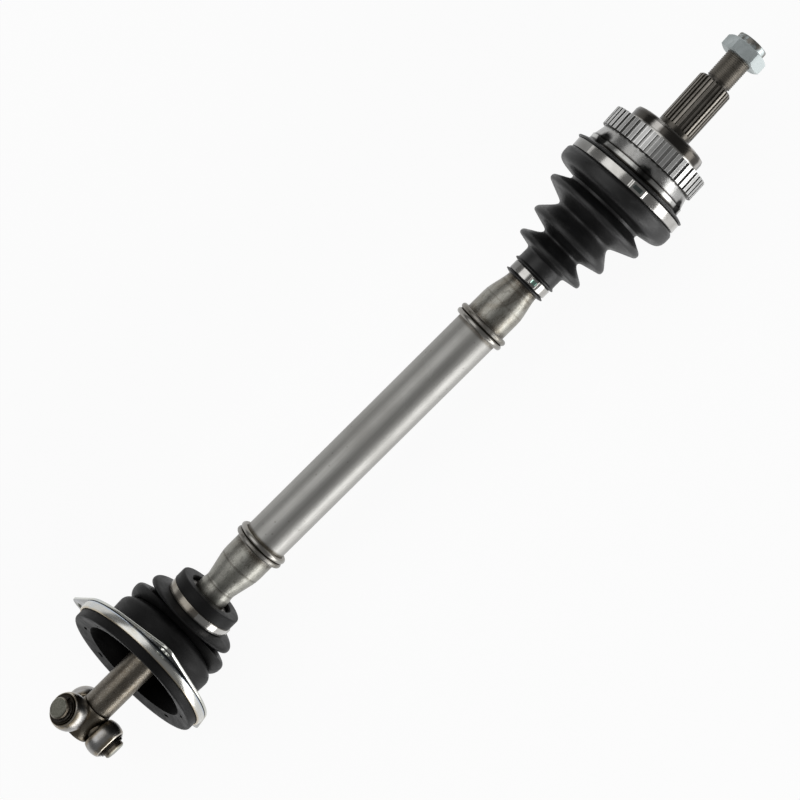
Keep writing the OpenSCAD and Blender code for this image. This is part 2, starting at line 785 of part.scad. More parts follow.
// Steel band in a loop, lapped over itself, with two rows of closing hooks on the lap
module clamp_band(x0, width, seat_d, lap_from) {
    inner_r = seat_d / 2 + run_gap;
    hook_l = width * 0.28;
    translate([x0, 0, 0])
        rotate([0, 90, 0]) {
            rotate_extrude()
                translate([inner_r, 0])
                    square([band_t, width]);
            rotate([0, 0, lap_from])
                rotate_extrude(angle = lap_angle)
                    translate([inner_r + band_t * 0.9, width * 0.04])
                        square([band_t, width * 0.92]);
            for (share = [0.3, 0.62])
                rotate([0, 0, lap_from + lap_angle * share])
                    translate([inner_r + band_t, -hook_l / 2, width / 2 - hook_l])
                        cube([band_t * 2, hook_l, hook_l * 2]);
        }
}

module inner_boot_clamp() {
    color("#b9b9b7")
        clamp_band(inner_seat_x0 + clamp_play / 2, inner_clamp_w, inner_seat_d, 95);
}

module outer_boot() {
    shaft_bore = facet_bore(boot_seat_d / 2);
    bell_bore = facet_bore(bell_d / 2);
    bell_face_x = joint_x - bell_mouth;
    // Where each fold's crest stands between its two valleys
    lean = 2;
    crest = 2;
    fold_1_x = boot_neck_x1 + outer_fold_1_w * 0.32;
    fold_2_x = outer_valley_1_x + outer_fold_2_w * 0.44;
    fold_3_x = outer_valley_2_x + outer_fold_3_w * 0.61;
    shoulder_x0 = outer_valley_3_x + valley_flat;
    clear_x = outer_valley_3_x + valley_flat + lean;
    outside = [
        [boot_small_x, shaft_bore],
        [boot_small_x, small_bead_d / 2, 1],
        [small_seat_x0, small_bead_d / 2, 1],
        [small_seat_x0, small_seat_d / 2],
        [small_seat_x1, small_seat_d / 2],
        [small_seat_x1, second_bead_d / 2, 1],
        [second_bead_x1, second_bead_d / 2, 1.5],
        [second_bead_x1, boot_neck_d / 2],
        [boot_neck_x1, boot_neck_d / 2, 1],
        [fold_1_x - crest, outer_fold_1_d / 2, 2.2],
        [fold_1_x + crest, outer_fold_1_d / 2, 2.2],
        [outer_valley_1_x, outer_valley_1_d / 2, 4],
        [outer_valley_1_x + valley_flat, outer_valley_1_d / 2, 2.5],
        [fold_2_x - crest, outer_fold_2_d / 2, 2],
        [fold_2_x + crest, outer_fold_2_d / 2, 2],
        [outer_valley_2_x, outer_valley_2_d / 2, 3],
        [outer_valley_2_x + valley_flat, outer_valley_2_d / 2, 2.5],
        [fold_3_x - crest, outer_fold_3_d / 2, 2],
        [fold_3_x + crest, outer_fold_3_d / 2, 2],
        [outer_valley_3_x, outer_valley_3_d / 2, 2],
        [shoulder_x0, outer_valley_3_d / 2, 1.2],
        [clear_x, (shoulder_d + outer_fold_3_d) / 4, 4],
        [clear_x + 2 * lean, shoulder_d / 2, 4],
        [large_seat_x0 - lean, shoulder_d / 2, 1.2],
        [large_seat_x0, large_seat_d / 2],
        [large_seat_x1, large_seat_d / 2],
        [large_seat_x1, end_lip_d / 2, 1],
        [boot_end_x - soft_gap, end_lip_d / 2, 1],
        [boot_end_x - soft_gap, bell_bore]];
    inside = [
        [bell_face_x, bell_bore],
        [bell_face_x - lean / 2, shoulder_d / 2 - boot_wall],
        [clear_x + 2 * lean, shoulder_d / 2 - boot_wall],
        [clear_x + lean / 2, (shoulder_d + outer_fold_3_d) / 4 - boot_wall],
        [shoulder_x0, outer_valley_3_d / 2 - boot_wall],
        [outer_valley_3_x, outer_valley_3_d / 2 - boot_wall],
        [fold_3_x + crest, outer_fold_3_d / 2 - boot_wall],
        [fold_3_x - crest, outer_fold_3_d / 2 - boot_wall],
        [outer_valley_2_x + valley_flat, outer_valley_2_d / 2 - boot_wall],
        [outer_valley_2_x, outer_valley_2_d / 2 - boot_wall],
        [fold_2_x + crest, outer_fold_2_d / 2 - boot_wall],
        [fold_2_x - crest, outer_fold_2_d / 2 - boot_wall],
        [outer_valley_1_x + valley_flat, outer_valley_1_d / 2 - boot_wall],
        [outer_valley_1_x, outer_valley_1_d / 2 - boot_wall],
        [fold_1_x + crest, outer_fold_1_d / 2 - boot_wall],
        [fold_1_x - crest, outer_fold_1_d / 2 - boot_wall],
        [boot_neck_x1 + lean, shaft_bore]];
    profile = rounded(concat(outside, inside));
    color("#262626")
        skin([for (p = profile) [for (j = [0:boot_sides - 1]) bent_aside(ring_point(p, j))]]);
}

module outer_boot_small_clamp() {
    color("#b9b9b7")
        clamp_band(small_seat_x0 + clamp_play / 2, small_clamp_w, small_seat_d, 250);
}

module outer_boot_large_clamp() {
    color("#b9b9b7")
        at_joint()
            translate([-joint_x, 0, 0])
                clamp_band(large_seat_x0 + clamp_play / 2, large_clamp_w, large_seat_d, 150);
}

// Repeats a piece round the balls of the joint, each built out along +Y
module each_ball() {
    for (i = [0:ball_count - 1])
        rotate([track_angle + 360 * i / ball_count, 0, 0])
            children();
}

module inner_race() {
    color("#77746c")
        translate([joint_x, 0, 0])
            difference() {
                intersection() {
                    sphere(race_r);
                    rotate([0, 90, 0])
                        cylinder(h = race_w, r = race_r, center = true);
                }
                each_ball()
                    rotate([0, 0, 90 - track_run])
                        rotate_extrude(angle = 2 * track_run)
                            translate([pitch_r, 0])
                                circle(track_r);
                rotate([0, 90, 0])
                    cylinder(h = race_w + 2 * past, r = race_bore_d / 2 + press_gap, center = true);
            }
}

module race_circlip() {
    color("#3b3733")
        translate([joint_x + race_w / 2 + face_gap / 2, 0, 0])
            rotate([0, 90, 0])
                retaining_ring(race_bore_d);
}

module ball_cage() {
    color("#6d6a62")
        at_joint(0.5)
            difference() {
                rotate([0, 90, 0])
                    rotate_extrude()
                        intersection() {
                            difference() {
                                circle(cage_r);
                                circle(cage_bore_r);
                            }
                            translate([0, -cage_w / 2])
                                square([cage_r, cage_w]);
                        }
                each_ball()
                    rotate([-90, 0, 0])
                        cylinder(h = cage_r + past, r = ball_r + run_gap);
            }
}

module joint_balls() {
    color("#c9c9c6")
        at_joint(0.5)
            each_ball()
                translate([0, pitch_r, 0])
                    sphere(ball_r);
}

// Triangular notches of a round thread, from x0 to x1
function thread_path(x0, x1) = let (turns = floor((x1 - x0) / thread_pitch))
    [for (i = [0:turns - 1]) each [
        [x0 + i * thread_pitch, thread_d / 2],
        [x0 + (i + 0.2) * thread_pitch, thread_d / 2],
        [x0 + (i + 0.6) * thread_pitch, thread_d / 2 - thread_depth]]];

// The bell and its stub as turned, in one half section with the round cavity and its wide mouth
module bell_blank() {
    seat_step = (bell_d - land_d) / 2;
    groove = 0.6;
    thread_start = thread_x + undercut_l;
    undercut_r = thread_d / 2 - thread_depth;
    mouth_end = bell_mouth + past;
    outline = concat([
        [-bell_mouth, 0],
        [-bell_mouth, bell_d / 2, chamfer],
        [bell_seat_end, bell_d / 2, chamfer],
        [bell_seat_end + seat_step / 2, land_d / 2],
        [land_end, land_d / 2],
        [land_end, land_d / 2 - groove],
        [ring_x, bell_end_d / 2],
        [ring_x, tooth_ring_bore / 2],
        [ring_x + tooth_ring_w, tooth_ring_bore / 2],
        [ring_x + tooth_ring_w, shoulder_ring_d / 2],
        [shoulder_x, shoulder_ring_d / 2, shoulder_round],
        [shoulder_x, spline_d / 2],
        [thread_x - spline_depth, spline_d / 2],
        [thread_x, spline_d / 2 - spline_depth],
        [thread_x, undercut_r],
        [thread_start, undercut_r]],
        thread_path(thread_start, stub_end_x),
        [[stub_end_x, undercut_r],
        [stub_end_x, 0]]);
    rotate([0, 90, 0])
        rotate_extrude()
            difference() {
                polygon([for (p = rounded(outline)) [p[1], p[0]]]);
                circle(bell_cavity_r);
                polygon([[0, 0], [mouth_r, 0], [mouth_r + mouth_end * tan(mouth_angle), -mouth_end],
                    [0, -mouth_end]]);
            }
}

module outer_joint_bell() {
    scoop_x = land_end;
    color("#6f6e6b")
        at_joint()
            difference() {
                bell_blank();
                each_ball()
                    rotate([0, 0, 90 - track_end])
                        rotate_extrude(angle = track_end + track_run)
                            translate([pitch_r, 0])
                                circle(track_r);
                for (i = [0:ball_count - 1])
                    rotate([track_angle + (i + 0.5) * 360 / ball_count, 0, 0])
                        translate([scoop_x, land_d / 2 - scoop_depth + scoop_r, 0])
                            sphere(scoop_r);
                for (i = [0:splines - 1])
                    rotate([360 * i / splines, 0, 0])
                        translate([spline_x, 0, 0])
                            rotate([0, 90, 0])
                                linear_extrude(spline_l + past)
                                    spline_gap();
            }
}

// Cross section of the gap between two wheel splines, at +Y
module spline_gap() {
    half_pitch = 180 / splines;
    top_r = spline_d / 2 + past;
    root_r = spline_d / 2 - spline_depth;
    top = top_r * sin(half_pitch * 0.72);
    root = root_r * sin(half_pitch * 0.3);
    polygon([[-top, top_r], [-root, root_r], [root, root_r], [top, top_r]]);
}

module tooth_ring() {
    root_r = tooth_ring_d / 2 - tooth_gap_depth;
    color("#a9a9a6")
        at_joint()
            difference() {
                hoop(ring_x + face_gap / 3, tooth_ring_w, tooth_ring_bore / 2 + press_gap, tooth_ring_d / 2);
                for (i = [0:teeth - 1])
                    rotate([360 * i / teeth, 0, 0])
                        translate([ring_x - past, root_r, -tooth_gap_w / 2])
                            cube([tooth_ring_w + 2 * past, tooth_gap_depth + past, tooth_gap_w]);
            }
}

module hub_nut() {
    corner_r = nut_af / 2 / cos(30);
    bevel = corner_r - nut_af / 2;
    lift = bevel * tan(30);
    x0 = shoulder_x + nut_x;
    ring_sink_l = crown_h - 2 * chamfer;
    color("#b5bcc2")
        at_joint()
            difference() {
                union() {
                    intersection() {
                        translate([x0, 0, 0])
                            rotate([nut_turn, 0, 0])
                                rotate([0, 90, 0])
                                    rotate(90)
                                        cylinder(h = nut_h, r = corner_r, $fn = 6);
                        turned([[x0, 0], [x0, nut_af / 2], [x0 + lift, corner_r],
                            [x0 + nut_h - lift, corner_r], [x0 + nut_h, nut_af / 2], [x0 + nut_h, 0]]);
                    }
                    turned([[x0 + nut_h - chamfer, 0], [x0 + nut_h - chamfer, crown_d / 2],
                        [x0 + nut_h + crown_h, crown_d / 2, chamfer], [x0 + nut_h + crown_h, 0]]);
                }
                translate([x0 - past, 0, 0])
                    rotate([0, 90, 0])
                        cylinder(h = nut_h + crown_h + 2 * past, r = nut_bore_r);
                translate([x0 + nut_h + chamfer, 0, 0])
                    rotate([0, 90, 0])
                        cylinder(h = ring_sink_l, r = crown_d / 2 - chamfer);
            }
}

module nut_lock_ring() {
    color("#d9d9d2")
        at_joint()
            hoop(shoulder_x + nut_x + nut_h + chamfer + press_gap, crown_h - 2 * chamfer - 2 * press_gap,
                nut_bore_r, crown_d / 2 - chamfer - press_gap);
}

inner_stub_shaft();
shaft_tube();
outer_stub_shaft();
spider();
spider_circlip();
roller(0);  // roller_1
roller(1);  // roller_2
roller(2);  // roller_3
needle_set(0);  // needle_rollers_1
needle_set(1);  // needle_rollers_2
needle_set(2);  // needle_rollers_3
roller_washers();
roller_circlips();
bearing_inner_ring();
bearing_outer_ring();
bearing_balls();
bearing_cage();
bearing_seals();
inner_boot();
gearbox_plate();
inner_boot_clamp();
outer_boot();
outer_boot_small_clamp();
outer_boot_large_clamp();
inner_race();
race_circlip();
ball_cage();
joint_balls();
outer_joint_bell();
tooth_ring();
hub_nut();
nut_lock_ring();
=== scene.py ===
"""A front drive shaft with its two joints and boots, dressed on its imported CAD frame."""
import math

import bpy
from mathutils import Matrix, Vector


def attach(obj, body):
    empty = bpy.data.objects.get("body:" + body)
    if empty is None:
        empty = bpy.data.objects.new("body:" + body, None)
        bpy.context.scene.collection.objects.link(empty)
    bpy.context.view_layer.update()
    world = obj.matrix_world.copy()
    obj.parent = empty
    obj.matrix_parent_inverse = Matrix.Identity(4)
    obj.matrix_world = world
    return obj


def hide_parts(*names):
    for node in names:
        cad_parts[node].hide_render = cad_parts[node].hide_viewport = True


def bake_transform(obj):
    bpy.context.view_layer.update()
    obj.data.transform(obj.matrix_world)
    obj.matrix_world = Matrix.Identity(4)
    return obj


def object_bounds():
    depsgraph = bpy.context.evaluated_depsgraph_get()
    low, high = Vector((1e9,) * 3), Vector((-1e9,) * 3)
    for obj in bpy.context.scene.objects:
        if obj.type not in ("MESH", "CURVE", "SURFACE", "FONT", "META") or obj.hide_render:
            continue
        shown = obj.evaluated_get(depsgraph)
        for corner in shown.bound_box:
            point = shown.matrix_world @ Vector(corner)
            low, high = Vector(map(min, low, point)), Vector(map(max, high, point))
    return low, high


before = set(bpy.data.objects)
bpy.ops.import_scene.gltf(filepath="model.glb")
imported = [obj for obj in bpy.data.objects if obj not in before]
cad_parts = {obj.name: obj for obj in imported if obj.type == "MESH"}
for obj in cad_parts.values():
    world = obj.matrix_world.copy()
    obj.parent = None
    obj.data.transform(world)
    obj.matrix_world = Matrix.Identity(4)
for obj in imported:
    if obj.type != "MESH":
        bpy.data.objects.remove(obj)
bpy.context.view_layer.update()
bpy.context.scene.view_settings.view_transform = "Standard"


# The tube: cold-drawn steel, cut to length and friction-welded to a stub shaft at each end.
# The weld rolls up a bead. The rest is bare satin metal with faint draw lines, a few handling
# scratches and small dark specks.
ORIGIN = (0.0, 0.0, 0.0)
STAIN_BLUR = 0.14


def wire(tree, value, socket):
    """Sets a socket to a value, or links another node's socket to it."""
    if isinstance(value, bpy.types.NodeSocket):
        tree.links.new(value, socket)
    else:
        socket.default_value = value


def add(tree, kind, settings=None, **sockets):
    """A new node with its settings and its input sockets, an underscore for each space in their names."""
    node = tree.nodes.new("ShaderNode" + kind)
    for name, value in (settings or {}).items():
        setattr(node, name, value)
    for name, value in sockets.items():
        wire(tree, value, node.inputs[name.replace("_", " ")])
    return node


def number(tree, operation, a, b=0.0, clamp=False):
    """The result of a Math node."""
    node = add(tree, "Math", {"operation": operation, "use_clamp": clamp})
    wire(tree, a, node.inputs[0])
    wire(tree, b, node.inputs[1])
    return node.outputs[0]


def ease(tree, value, low, high):
    """0 at low and 1 at high, smooth between them."""
    node = add(tree, "MapRange", {"interpolation_type": "SMOOTHSTEP"}, Value=value, From_Min=low,
               From_Max=high)
    return node.outputs["Result"]


def mixed(tree, share, a, b, how="MIX"):
    """Two colours mixed by a share."""
    node = add(tree, "Mix", {"data_type": "RGBA", "blend_type": how})
    for value, index in ((share, 0), (a, 6), (b, 7)):
        wire(tree, value, node.inputs[index])
    return node.outputs[2]


def tinted(tree, colour, share, strength, tint):
    """A colour with a tint laid over a share of it, at a strength."""
    return mixed(tree, number(tree, "MULTIPLY", share, strength), colour, (*tint, 1))


def between(tree, share, a, b):
    """A number between two others."""
    node = add(tree, "Mix", {"data_type": "FLOAT"})
    for value, index in ((share, 0), (a, 2), (b, 3)):
        wire(tree, value, node.inputs[index])
    return node.outputs[0]


def where(tree, centre=(0, 0, 0), turn=(0, 0, 0), stretch=(1, 1, 1)):
    """Object coordinates, seen from a centre, turned, and stretched along an axis."""
    angles = [math.radians(angle) for angle in turn]
    source = add(tree, "TexCoord").outputs["Object"]
    node = add(tree, "Mapping", {"vector_type": "TEXTURE"}, Vector=source, Location=centre, Rotation=angles,
               Scale=stretch)
    return node.outputs["Vector"]


def axis_part(tree, vector, axis):
    """One coordinate of a vector."""
    return add(tree, "SeparateXYZ", Vector=vector).outputs[axis]


def noise(tree, vector, scale, detail=3.0, roughness=0.55, distortion=0.0):
    """Cloudy noise, from 0 to 1."""
    node = add(tree, "TexNoise", Vector=vector, Scale=scale, Detail=detail, Roughness=roughness,
               Distortion=distortion)
    return node.outputs[0]


def bumped(tree, shader, height, depth, strength=1.0, normal=None):
    """A height pattern of a depth in metres, on the surface's normal or a given one."""
    node = add(tree, "Bump", Strength=strength, Distance=depth, Height=height)
    if normal:
        tree.links.new(normal, node.inputs["Normal"])
    tree.links.new(node.outputs["Normal"], shader.inputs["Normal"])


def finish(name, **constants):
    """A new material: itself, its node tree and its shader, with the shader's plain values set."""
    made = bpy.data.materials.new(name)
    made.use_nodes = True
    shader = made.node_tree.nodes["Principled BSDF"]
    for socket, value in constants.items():
        shader.inputs[socket.replace("_", " ")].default_value = value
    return made, made.node_tree, shader


def dress(made, *nodes):
    """Puts a material on CAD nodes."""
    for name in nodes:
        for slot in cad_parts[name].material_slots:
            slot.material = made


def effect(name, inputs, outputs):
    """A new shader node group: its tree, the sockets of its inputs and the sockets of its outputs."""
    tree = bpy.data.node_groups.new(name, "ShaderNodeTree")
    for socket, start in inputs.items():
        kind = "NodeSocketVector" if isinstance(start, tuple) else "NodeSocketFloat"
        tree.interface.new_socket(socket, in_out="INPUT", socket_type=kind).default_value = start
    for socket in outputs:
        tree.interface.new_socket(socket, in_out="OUTPUT", socket_type="NodeSocketFloat")
    given = tree.nodes.new("NodeGroupInput").outputs
    result = tree.nodes.new("NodeGroupOutput").inputs
    return tree, given, result


def use(tree, group, **sockets):
    """A group placed in a material, with its own values; its output sockets."""
    node = add(tree, "Group", {"node_tree": group}, **sockets)
    return node.outputs


def along_zones(tree, along, zones):
    """A colour that changes along the axis: (mm, colour) stops with straight fades between them."""
    first, last = zones[0][0], zones[-1][0]
    reach = add(tree, "MapRange", Value=along, From_Min=first / 1000, From_Max=last / 1000).outputs["Result"]
    ramp = add(tree, "ValToRGB", Fac=reach)
    stops = ramp.color_ramp.elements
    while len(stops) > 1:
        stops.remove(stops[-1])
    for order, (place, colour) in enumerate(zones):
        share = (place - first) / (last - first)
        stop = stops[0] if order == 0 else stops.new(share)
        stop.position = share
        stop.color = (*colour, 1)
    return ramp.outputs["Color"]


scratches, given, result = effect("scratches", {"Vector": ORIGIN, "Scale": 900.0, "Amount": 0.3}, ["Mask"])
lines = add(scratches, "TexVoronoi", {"feature": "DISTANCE_TO_EDGE"}, Vector=given["Vector"],
            Scale=given["Scale"])
thin = ease(scratches, lines.outputs["Distance"], 0.05, 0.012)
patch = noise(scratches, given["Vector"], number(scratches, "MULTIPLY", given["Scale"], 0.21), 2.0)
few = ease(scratches, patch, number(scratches, "SUBTRACT", 0.85, given["Amount"]), 0.95)
wire(scratches, number(scratches, "MULTIPLY", thin, few), result["Mask"])

specks, given, result = effect("specks", {"Vector": ORIGIN, "Scale": 300.0, "Amount": 0.2}, ["Mask"])
dots = add(specks, "TexVoronoi", {"feature": "F1"}, Vector=given["Vector"], Scale=given["Scale"])
chosen = number(specks, "LESS_THAN", axis_part(specks, dots.outputs["Color"], 0), given["Amount"])
dot = ease(specks, dots.outputs["Distance"], 0.3, 0.12)
wire(specks, number(specks, "MULTIPLY", dot, chosen), result["Mask"])

oil_stains, given, result = effect("oil stains", {"Vector": ORIGIN, "Scale": 60.0, "Cover": 0.5}, ["Mask"])
cloud = noise(oil_stains, given["Vector"], given["Scale"], 5.0, 0.62, 0.6)
threshold = number(oil_stains, "SUBTRACT", 1.0, given["Cover"])
mask = ease(oil_stains, cloud, number(oil_stains, "SUBTRACT", threshold, STAIN_BLUR),
            number(oil_stains, "ADD", threshold, STAIN_BLUR))
wire(oil_stains, mask, result["Mask"])

tube_steel, tree, shader = finish("tube_steel", Metallic=1.0)
spot = where(tree)
drawn = noise(tree, where(tree, stretch=(60, 1, 1)), 700.0, 3.0)
cloudy = noise(tree, spot, 28.0, 4.0)
marks = use(tree, scratches, Vector=where(tree, turn=(0, 0, 9), stretch=(14, 1, 1)), Scale=320.0,
            Amount=0.34)["Mask"]
cross = use(tree, scratches, Vector=where(tree, turn=(20, 30, 66), stretch=(9, 1, 1)), Scale=260.0,
            Amount=0.26)["Mask"]
pits = use(tree, specks, Vector=spot, Scale=260.0, Amount=0.08)["Mask"]
drawn_steel = (0.37, 0.366, 0.35)
flash = (0.3, 0.29, 0.268)
burnt = (0.1, 0.088, 0.07)
scorched = (0.2, 0.175, 0.14)
along = axis_part(tree, spot, "X")
colour = along_zones(tree, along, [
    (189, burnt), (190, flash), (192.4, flash), (193.4, scorched), (194.4, burnt), (196, drawn_steel),
    (411.6, drawn_steel), (413.2, burnt), (414.2, scorched), (415.4, flash), (417.6, flash), (419, burnt)])
colour = tinted(tree, colour, ease(tree, cloudy, 0.35, 0.75), 0.4, (0.3, 0.294, 0.277))
colour = tinted(tree, colour, ease(tree, drawn, 0.35, 0.7), 0.3, (0.27, 0.263, 0.245))
colour = tinted(tree, colour, number(tree, "MAXIMUM", marks, cross), 0.3, (0.6, 0.6, 0.585))
colour = tinted(tree, colour, pits, 0.4, (0.17, 0.16, 0.145))
wire(tree, colour, shader.inputs["Base Color"])
on_bead = number(tree, "ADD", ease(tree, along, 0.1938, 0.193), ease(tree, along, 0.4142, 0.415))
satin = between(tree, ease(tree, cloudy, 0.25, 0.75), 0.45, 0.54)
wire(tree, between(tree, on_bead, satin, 0.28), shader.inputs["Roughness"])
bumped(tree, shader, number(tree, "ADD", drawn, number(tree, "MULTIPLY", marks, -1.2)), 0.00006, 0.35)
dress(tube_steel, "shaft_tube")


# The two stub shafts: forged, turned and hardened steel, dark and brown with oil where the tube is grey.
# Each is welded to the tube by a rolled bead; turning left fine rings. The dark lines at each change of size
# and beside each bead are painted shade.
turned_rings, given, result = effect("turned rings", {"Along": 0.0, "Lines per metre": 2500.0}, ["Height"])
reach = number(turned_rings, "MULTIPLY", given["Along"], given["Lines per metre"])
fine = add(turned_rings, "TexNoise", {"noise_dimensions": "1D"}, W=reach, Scale=1.0, Detail=2.0,
           Roughness=0.7)
wire(turned_rings, fine.outputs[0], result["Height"])


def oiled_steel(name, zones, cover):
    """Turned steel, oiled: its colour along the axis in mm, and how much of it the oil has browned."""
    made, tree, shader = finish(name, Metallic=1.0)
    spot = where(tree)
    along = axis_part(tree, spot, "X")
    rings = use(tree, turned_rings, Along=along, Lines_per_metre=2600.0)["Height"]
    oil = use(tree, oil_stains, Vector=where(tree, stretch=(1.6, 1, 1)), Scale=58.0, Cover=cover)["Mask"]
    dark = use(tree, oil_stains, Vector=where(tree, stretch=(2, 1, 1)), Scale=420.0, Cover=0.4)["Mask"]
    grain = noise(tree, spot, 1400.0, 4.0, 0.65)
    colour = along_zones(tree, along, zones)
    colour = tinted(tree, colour, ease(tree, rings, 0.35, 0.75), 0.2, (0.07, 0.063, 0.052))
    colour = tinted(tree, colour, oil, 0.5, (0.12, 0.097, 0.066))
    colour = tinted(tree, colour, dark, 0.5, (0.045, 0.039, 0.031))
    colour = tinted(tree, colour, ease(tree, grain, 0.5, 0.72), 0.45, (0.55, 0.54, 0.5))
    wire(tree, colour, shader.inputs["Base Color"])
    wire(tree, between(tree, oil, 0.4, 0.32), shader.inputs["Roughness"])
    bumped(tree, shader, number(tree, "ADD", rings, number(tree, "MULTIPLY", grain, 0.8)), 0.00009, 0.4)
    return made


journal = (0.15, 0.134, 0.11)
neck = (0.285, 0.282, 0.254)
pale_neck = (0.335, 0.33, 0.298)
# line: painted shade, a dark band at each change of size and in the creases beside the weld beads.
line = (0.085, 0.078, 0.066)
bead = (0.27, 0.262, 0.244)
dress(oiled_steel("inner_stub_steel", [
    (-15, journal), (130, journal), (138, neck), (144.2, neck), (144.9, line), (145.8, neck), (165.6, neck),
    (166.4, line), (167.4, neck), (179, neck), (183, line), (185.2, bead), (187.8, bead), (189, line)], 0.42),
    "inner_stub_shaft")
# The darker bands at 442 and 455.6 mm are painted shade where the neck changes size.
dress(oiled_steel("outer_stub_steel", [
    (419, line), (420.2, bead), (422.6, bead), (424.4, line), (428, pale_neck), (441.4, pale_neck),
    (442, (0.19, 0.18, 0.156)), (442.8, pale_neck), (453.8, pale_neck), (455.6, (0.18, 0.168, 0.143)),
    (457, pale_neck), (460, line), (600, journal)], 0.5),
    "outer_stub_shaft")


# The tripod: a forged steel spider with three ground trunnions, pressed on the stub and held by a ring.
# It runs bare in the gearbox, so it comes out black-brown with oil; the trunnions end in bare grey flats.
TRUNNIONS = 3
FIRST_TRUNNION = 52.0


def both(tree, a, b):
    """The length of two distances at a right angle."""
    squares = [number(tree, "MULTIPLY", side, side) for side in (a, b)]
    return number(tree, "SQRT", number(tree, "ADD", *squares))


around, given, result = effect("around the axis", {"Vector": ORIGIN, "Count": 3.0, "First": 0.0},
                               ["Radius", "Turn"])
parts = add(around, "SeparateXYZ", Vector=given["Vector"]).outputs
step = number(around, "DIVIDE", 2 * math.pi, given["Count"])
half = number(around, "MULTIPLY", step, 0.5)
turn = number(around, "ARCTAN2", parts["Z"], parts["Y"])
turn = number(around, "SUBTRACT", turn, number(around, "RADIANS", given["First"]))
turn = number(around, "FLOORED_MODULO", number(around, "ADD", turn, half), step)
wire(around, number(around, "SUBTRACT", turn, half), result["Turn"])
wire(around, both(around, parts["Y"], parts["Z"]), result["Radius"])


def trunnion(tree, spot):
    """How far a point is out along its trunnion, and how far it is from the trunnion's middle line."""
    polar = use(tree, around, Vector=spot, Count=float(TRUNNIONS), First=FIRST_TRUNNION)
    reach = number(tree, "MULTIPLY", polar["Radius"], number(tree, "COSINE", polar["Turn"]))
    aside = number(tree, "MULTIPLY", polar["Radius"], number(tree, "SINE", polar["Turn"]))
    return reach, both(tree, aside, axis_part(tree, spot, "X"))


spider_steel, tree, shader = finish("spider_steel", Metallic=1.0)
spot = where(tree)
reach, off = trunnion(tree, spot)
oil = use(tree, oil_stains, Vector=spot, Scale=110.0, Cover=0.5)["Mask"]
fine = noise(tree, spot, 900.0, 3.0)
tip = ease(tree, reach, 0.0328, 0.0332)
flat = number(tree, "MULTIPLY", tip, ease(tree, off, 0.008, 0.0076))
foot_shade = number(tree, "MULTIPLY", ease(tree, reach, 0.0112, 0.0124), ease(tree, reach, 0.0142, 0.0136))
colour = mixed(tree, oil, (0.2, 0.18, 0.148, 1), (0.13, 0.11, 0.083, 1))
colour = tinted(tree, colour, ease(tree, fine, 0.45, 0.7), 0.35, (0.06, 0.052, 0.042))
# Painted shade: the ring round each trunnion's bare end flat, and the band at its foot under the roller's inner
# end, are painted near black.
colour = tinted(tree, colour, number(tree, "MAXIMUM", tip, foot_shade), 0.85, (0.035, 0.031, 0.026))
bare = mixed(tree, ease(tree, fine, 0.4, 0.7), (0.27, 0.268, 0.225, 1), (0.19, 0.186, 0.15, 1))
colour = mixed(tree, flat, colour, bare)
wire(tree, colour, shader.inputs["Base Color"])
wire(tree, between(tree, oil, 0.44, 0.34), shader.inputs["Roughness"])
bumped(tree, shader, fine, 0.00008, 0.3)
dress(spider_steel, "spider")

spring_steel, tree, shader = finish("spring_steel", Metallic=1.0)
spot = where(tree)
blacked = use(tree, oil_stains, Vector=spot, Scale=260.0, Cover=0.6)["Mask"]
wire(tree, mixed(tree, blacked, (0.13, 0.118, 0.1, 1), (0.04, 0.036, 0.032, 1)), shader.inputs["Base Color"])
wire(tree, between(tree, blacked, 0.3, 0.45), shader.inputs["Roughness"])
dress(spring_steel, "spider_circlip", "roller_circlips", "race_circlip")


# The three rollers: hardened bearing steel, ground round and polished, each on a set of needles.
# Heat and oil have tinted their outer edges straw and brown; washers and rings keep them on.
SHARP = math.radians(38)
BARREL_START, BARREL_STEP, BARREL_HALF, BARREL_RADIUS = 13.55, 0.7, 6.65, 14.7


def select_none():
    """Leaves nothing selected."""
    bpy.ops.object.select_all(action="DESELECT")


def traced(name, points):
    """A closed line through points in mm, left in edit mode with all of it selected."""
    points = [Vector(point) / 1000 for point in points]
    select_none()
    bpy.ops.mesh.primitive_plane_add(size=0.001)
    piece = bpy.context.object
    piece.name = piece.data.name = name
    bpy.ops.object.mode_set(mode="EDIT")
    bpy.ops.mesh.select_all(action="SELECT")
    bpy.ops.mesh.merge(type="CENTER")
    bpy.ops.transform.translate(value=points[0])
    for before, after in zip(points, points[1:] + points[:1]):
        bpy.ops.mesh.extrude_vertices_move(TRANSFORM_OT_translate={"value": after - before})
    bpy.ops.mesh.select_all(action="SELECT")
    bpy.ops.mesh.remove_doubles(threshold=1e-6)
    return piece


def spoke(angle, r, x=0.0):
    """A point in mm, r from the shaft's line at an angle from the top towards -Y."""
    return Vector((x, -r * math.sin(math.radians(angle)), r * math.cos(math.radians(angle))))


def lathe(name, outline, start=0.0, sweep=360.0, steps=144):
    """Turns a closed outline of (x, r) points in mm about the shaft, from a start angle through a sweep."""
    piece = traced(name, [spoke(start, r, x) for x, r in outline])
    bpy.ops.mesh.spin(steps=steps, angle=math.radians(sweep), center=(0, 0, 0), axis=(-1, 0, 0))
    bpy.ops.mesh.select_all(action="SELECT")
    bpy.ops.mesh.remove_doubles(threshold=2e-6)
    if sweep < 360:
        bpy.ops.mesh.fill_holes(sides=0)
    bpy.ops.mesh.normals_make_consistent(inside=False)
    bpy.ops.object.mode_set(mode="OBJECT")
    bpy.ops.object.shade_smooth_by_angle(angle=SHARP)
    return piece


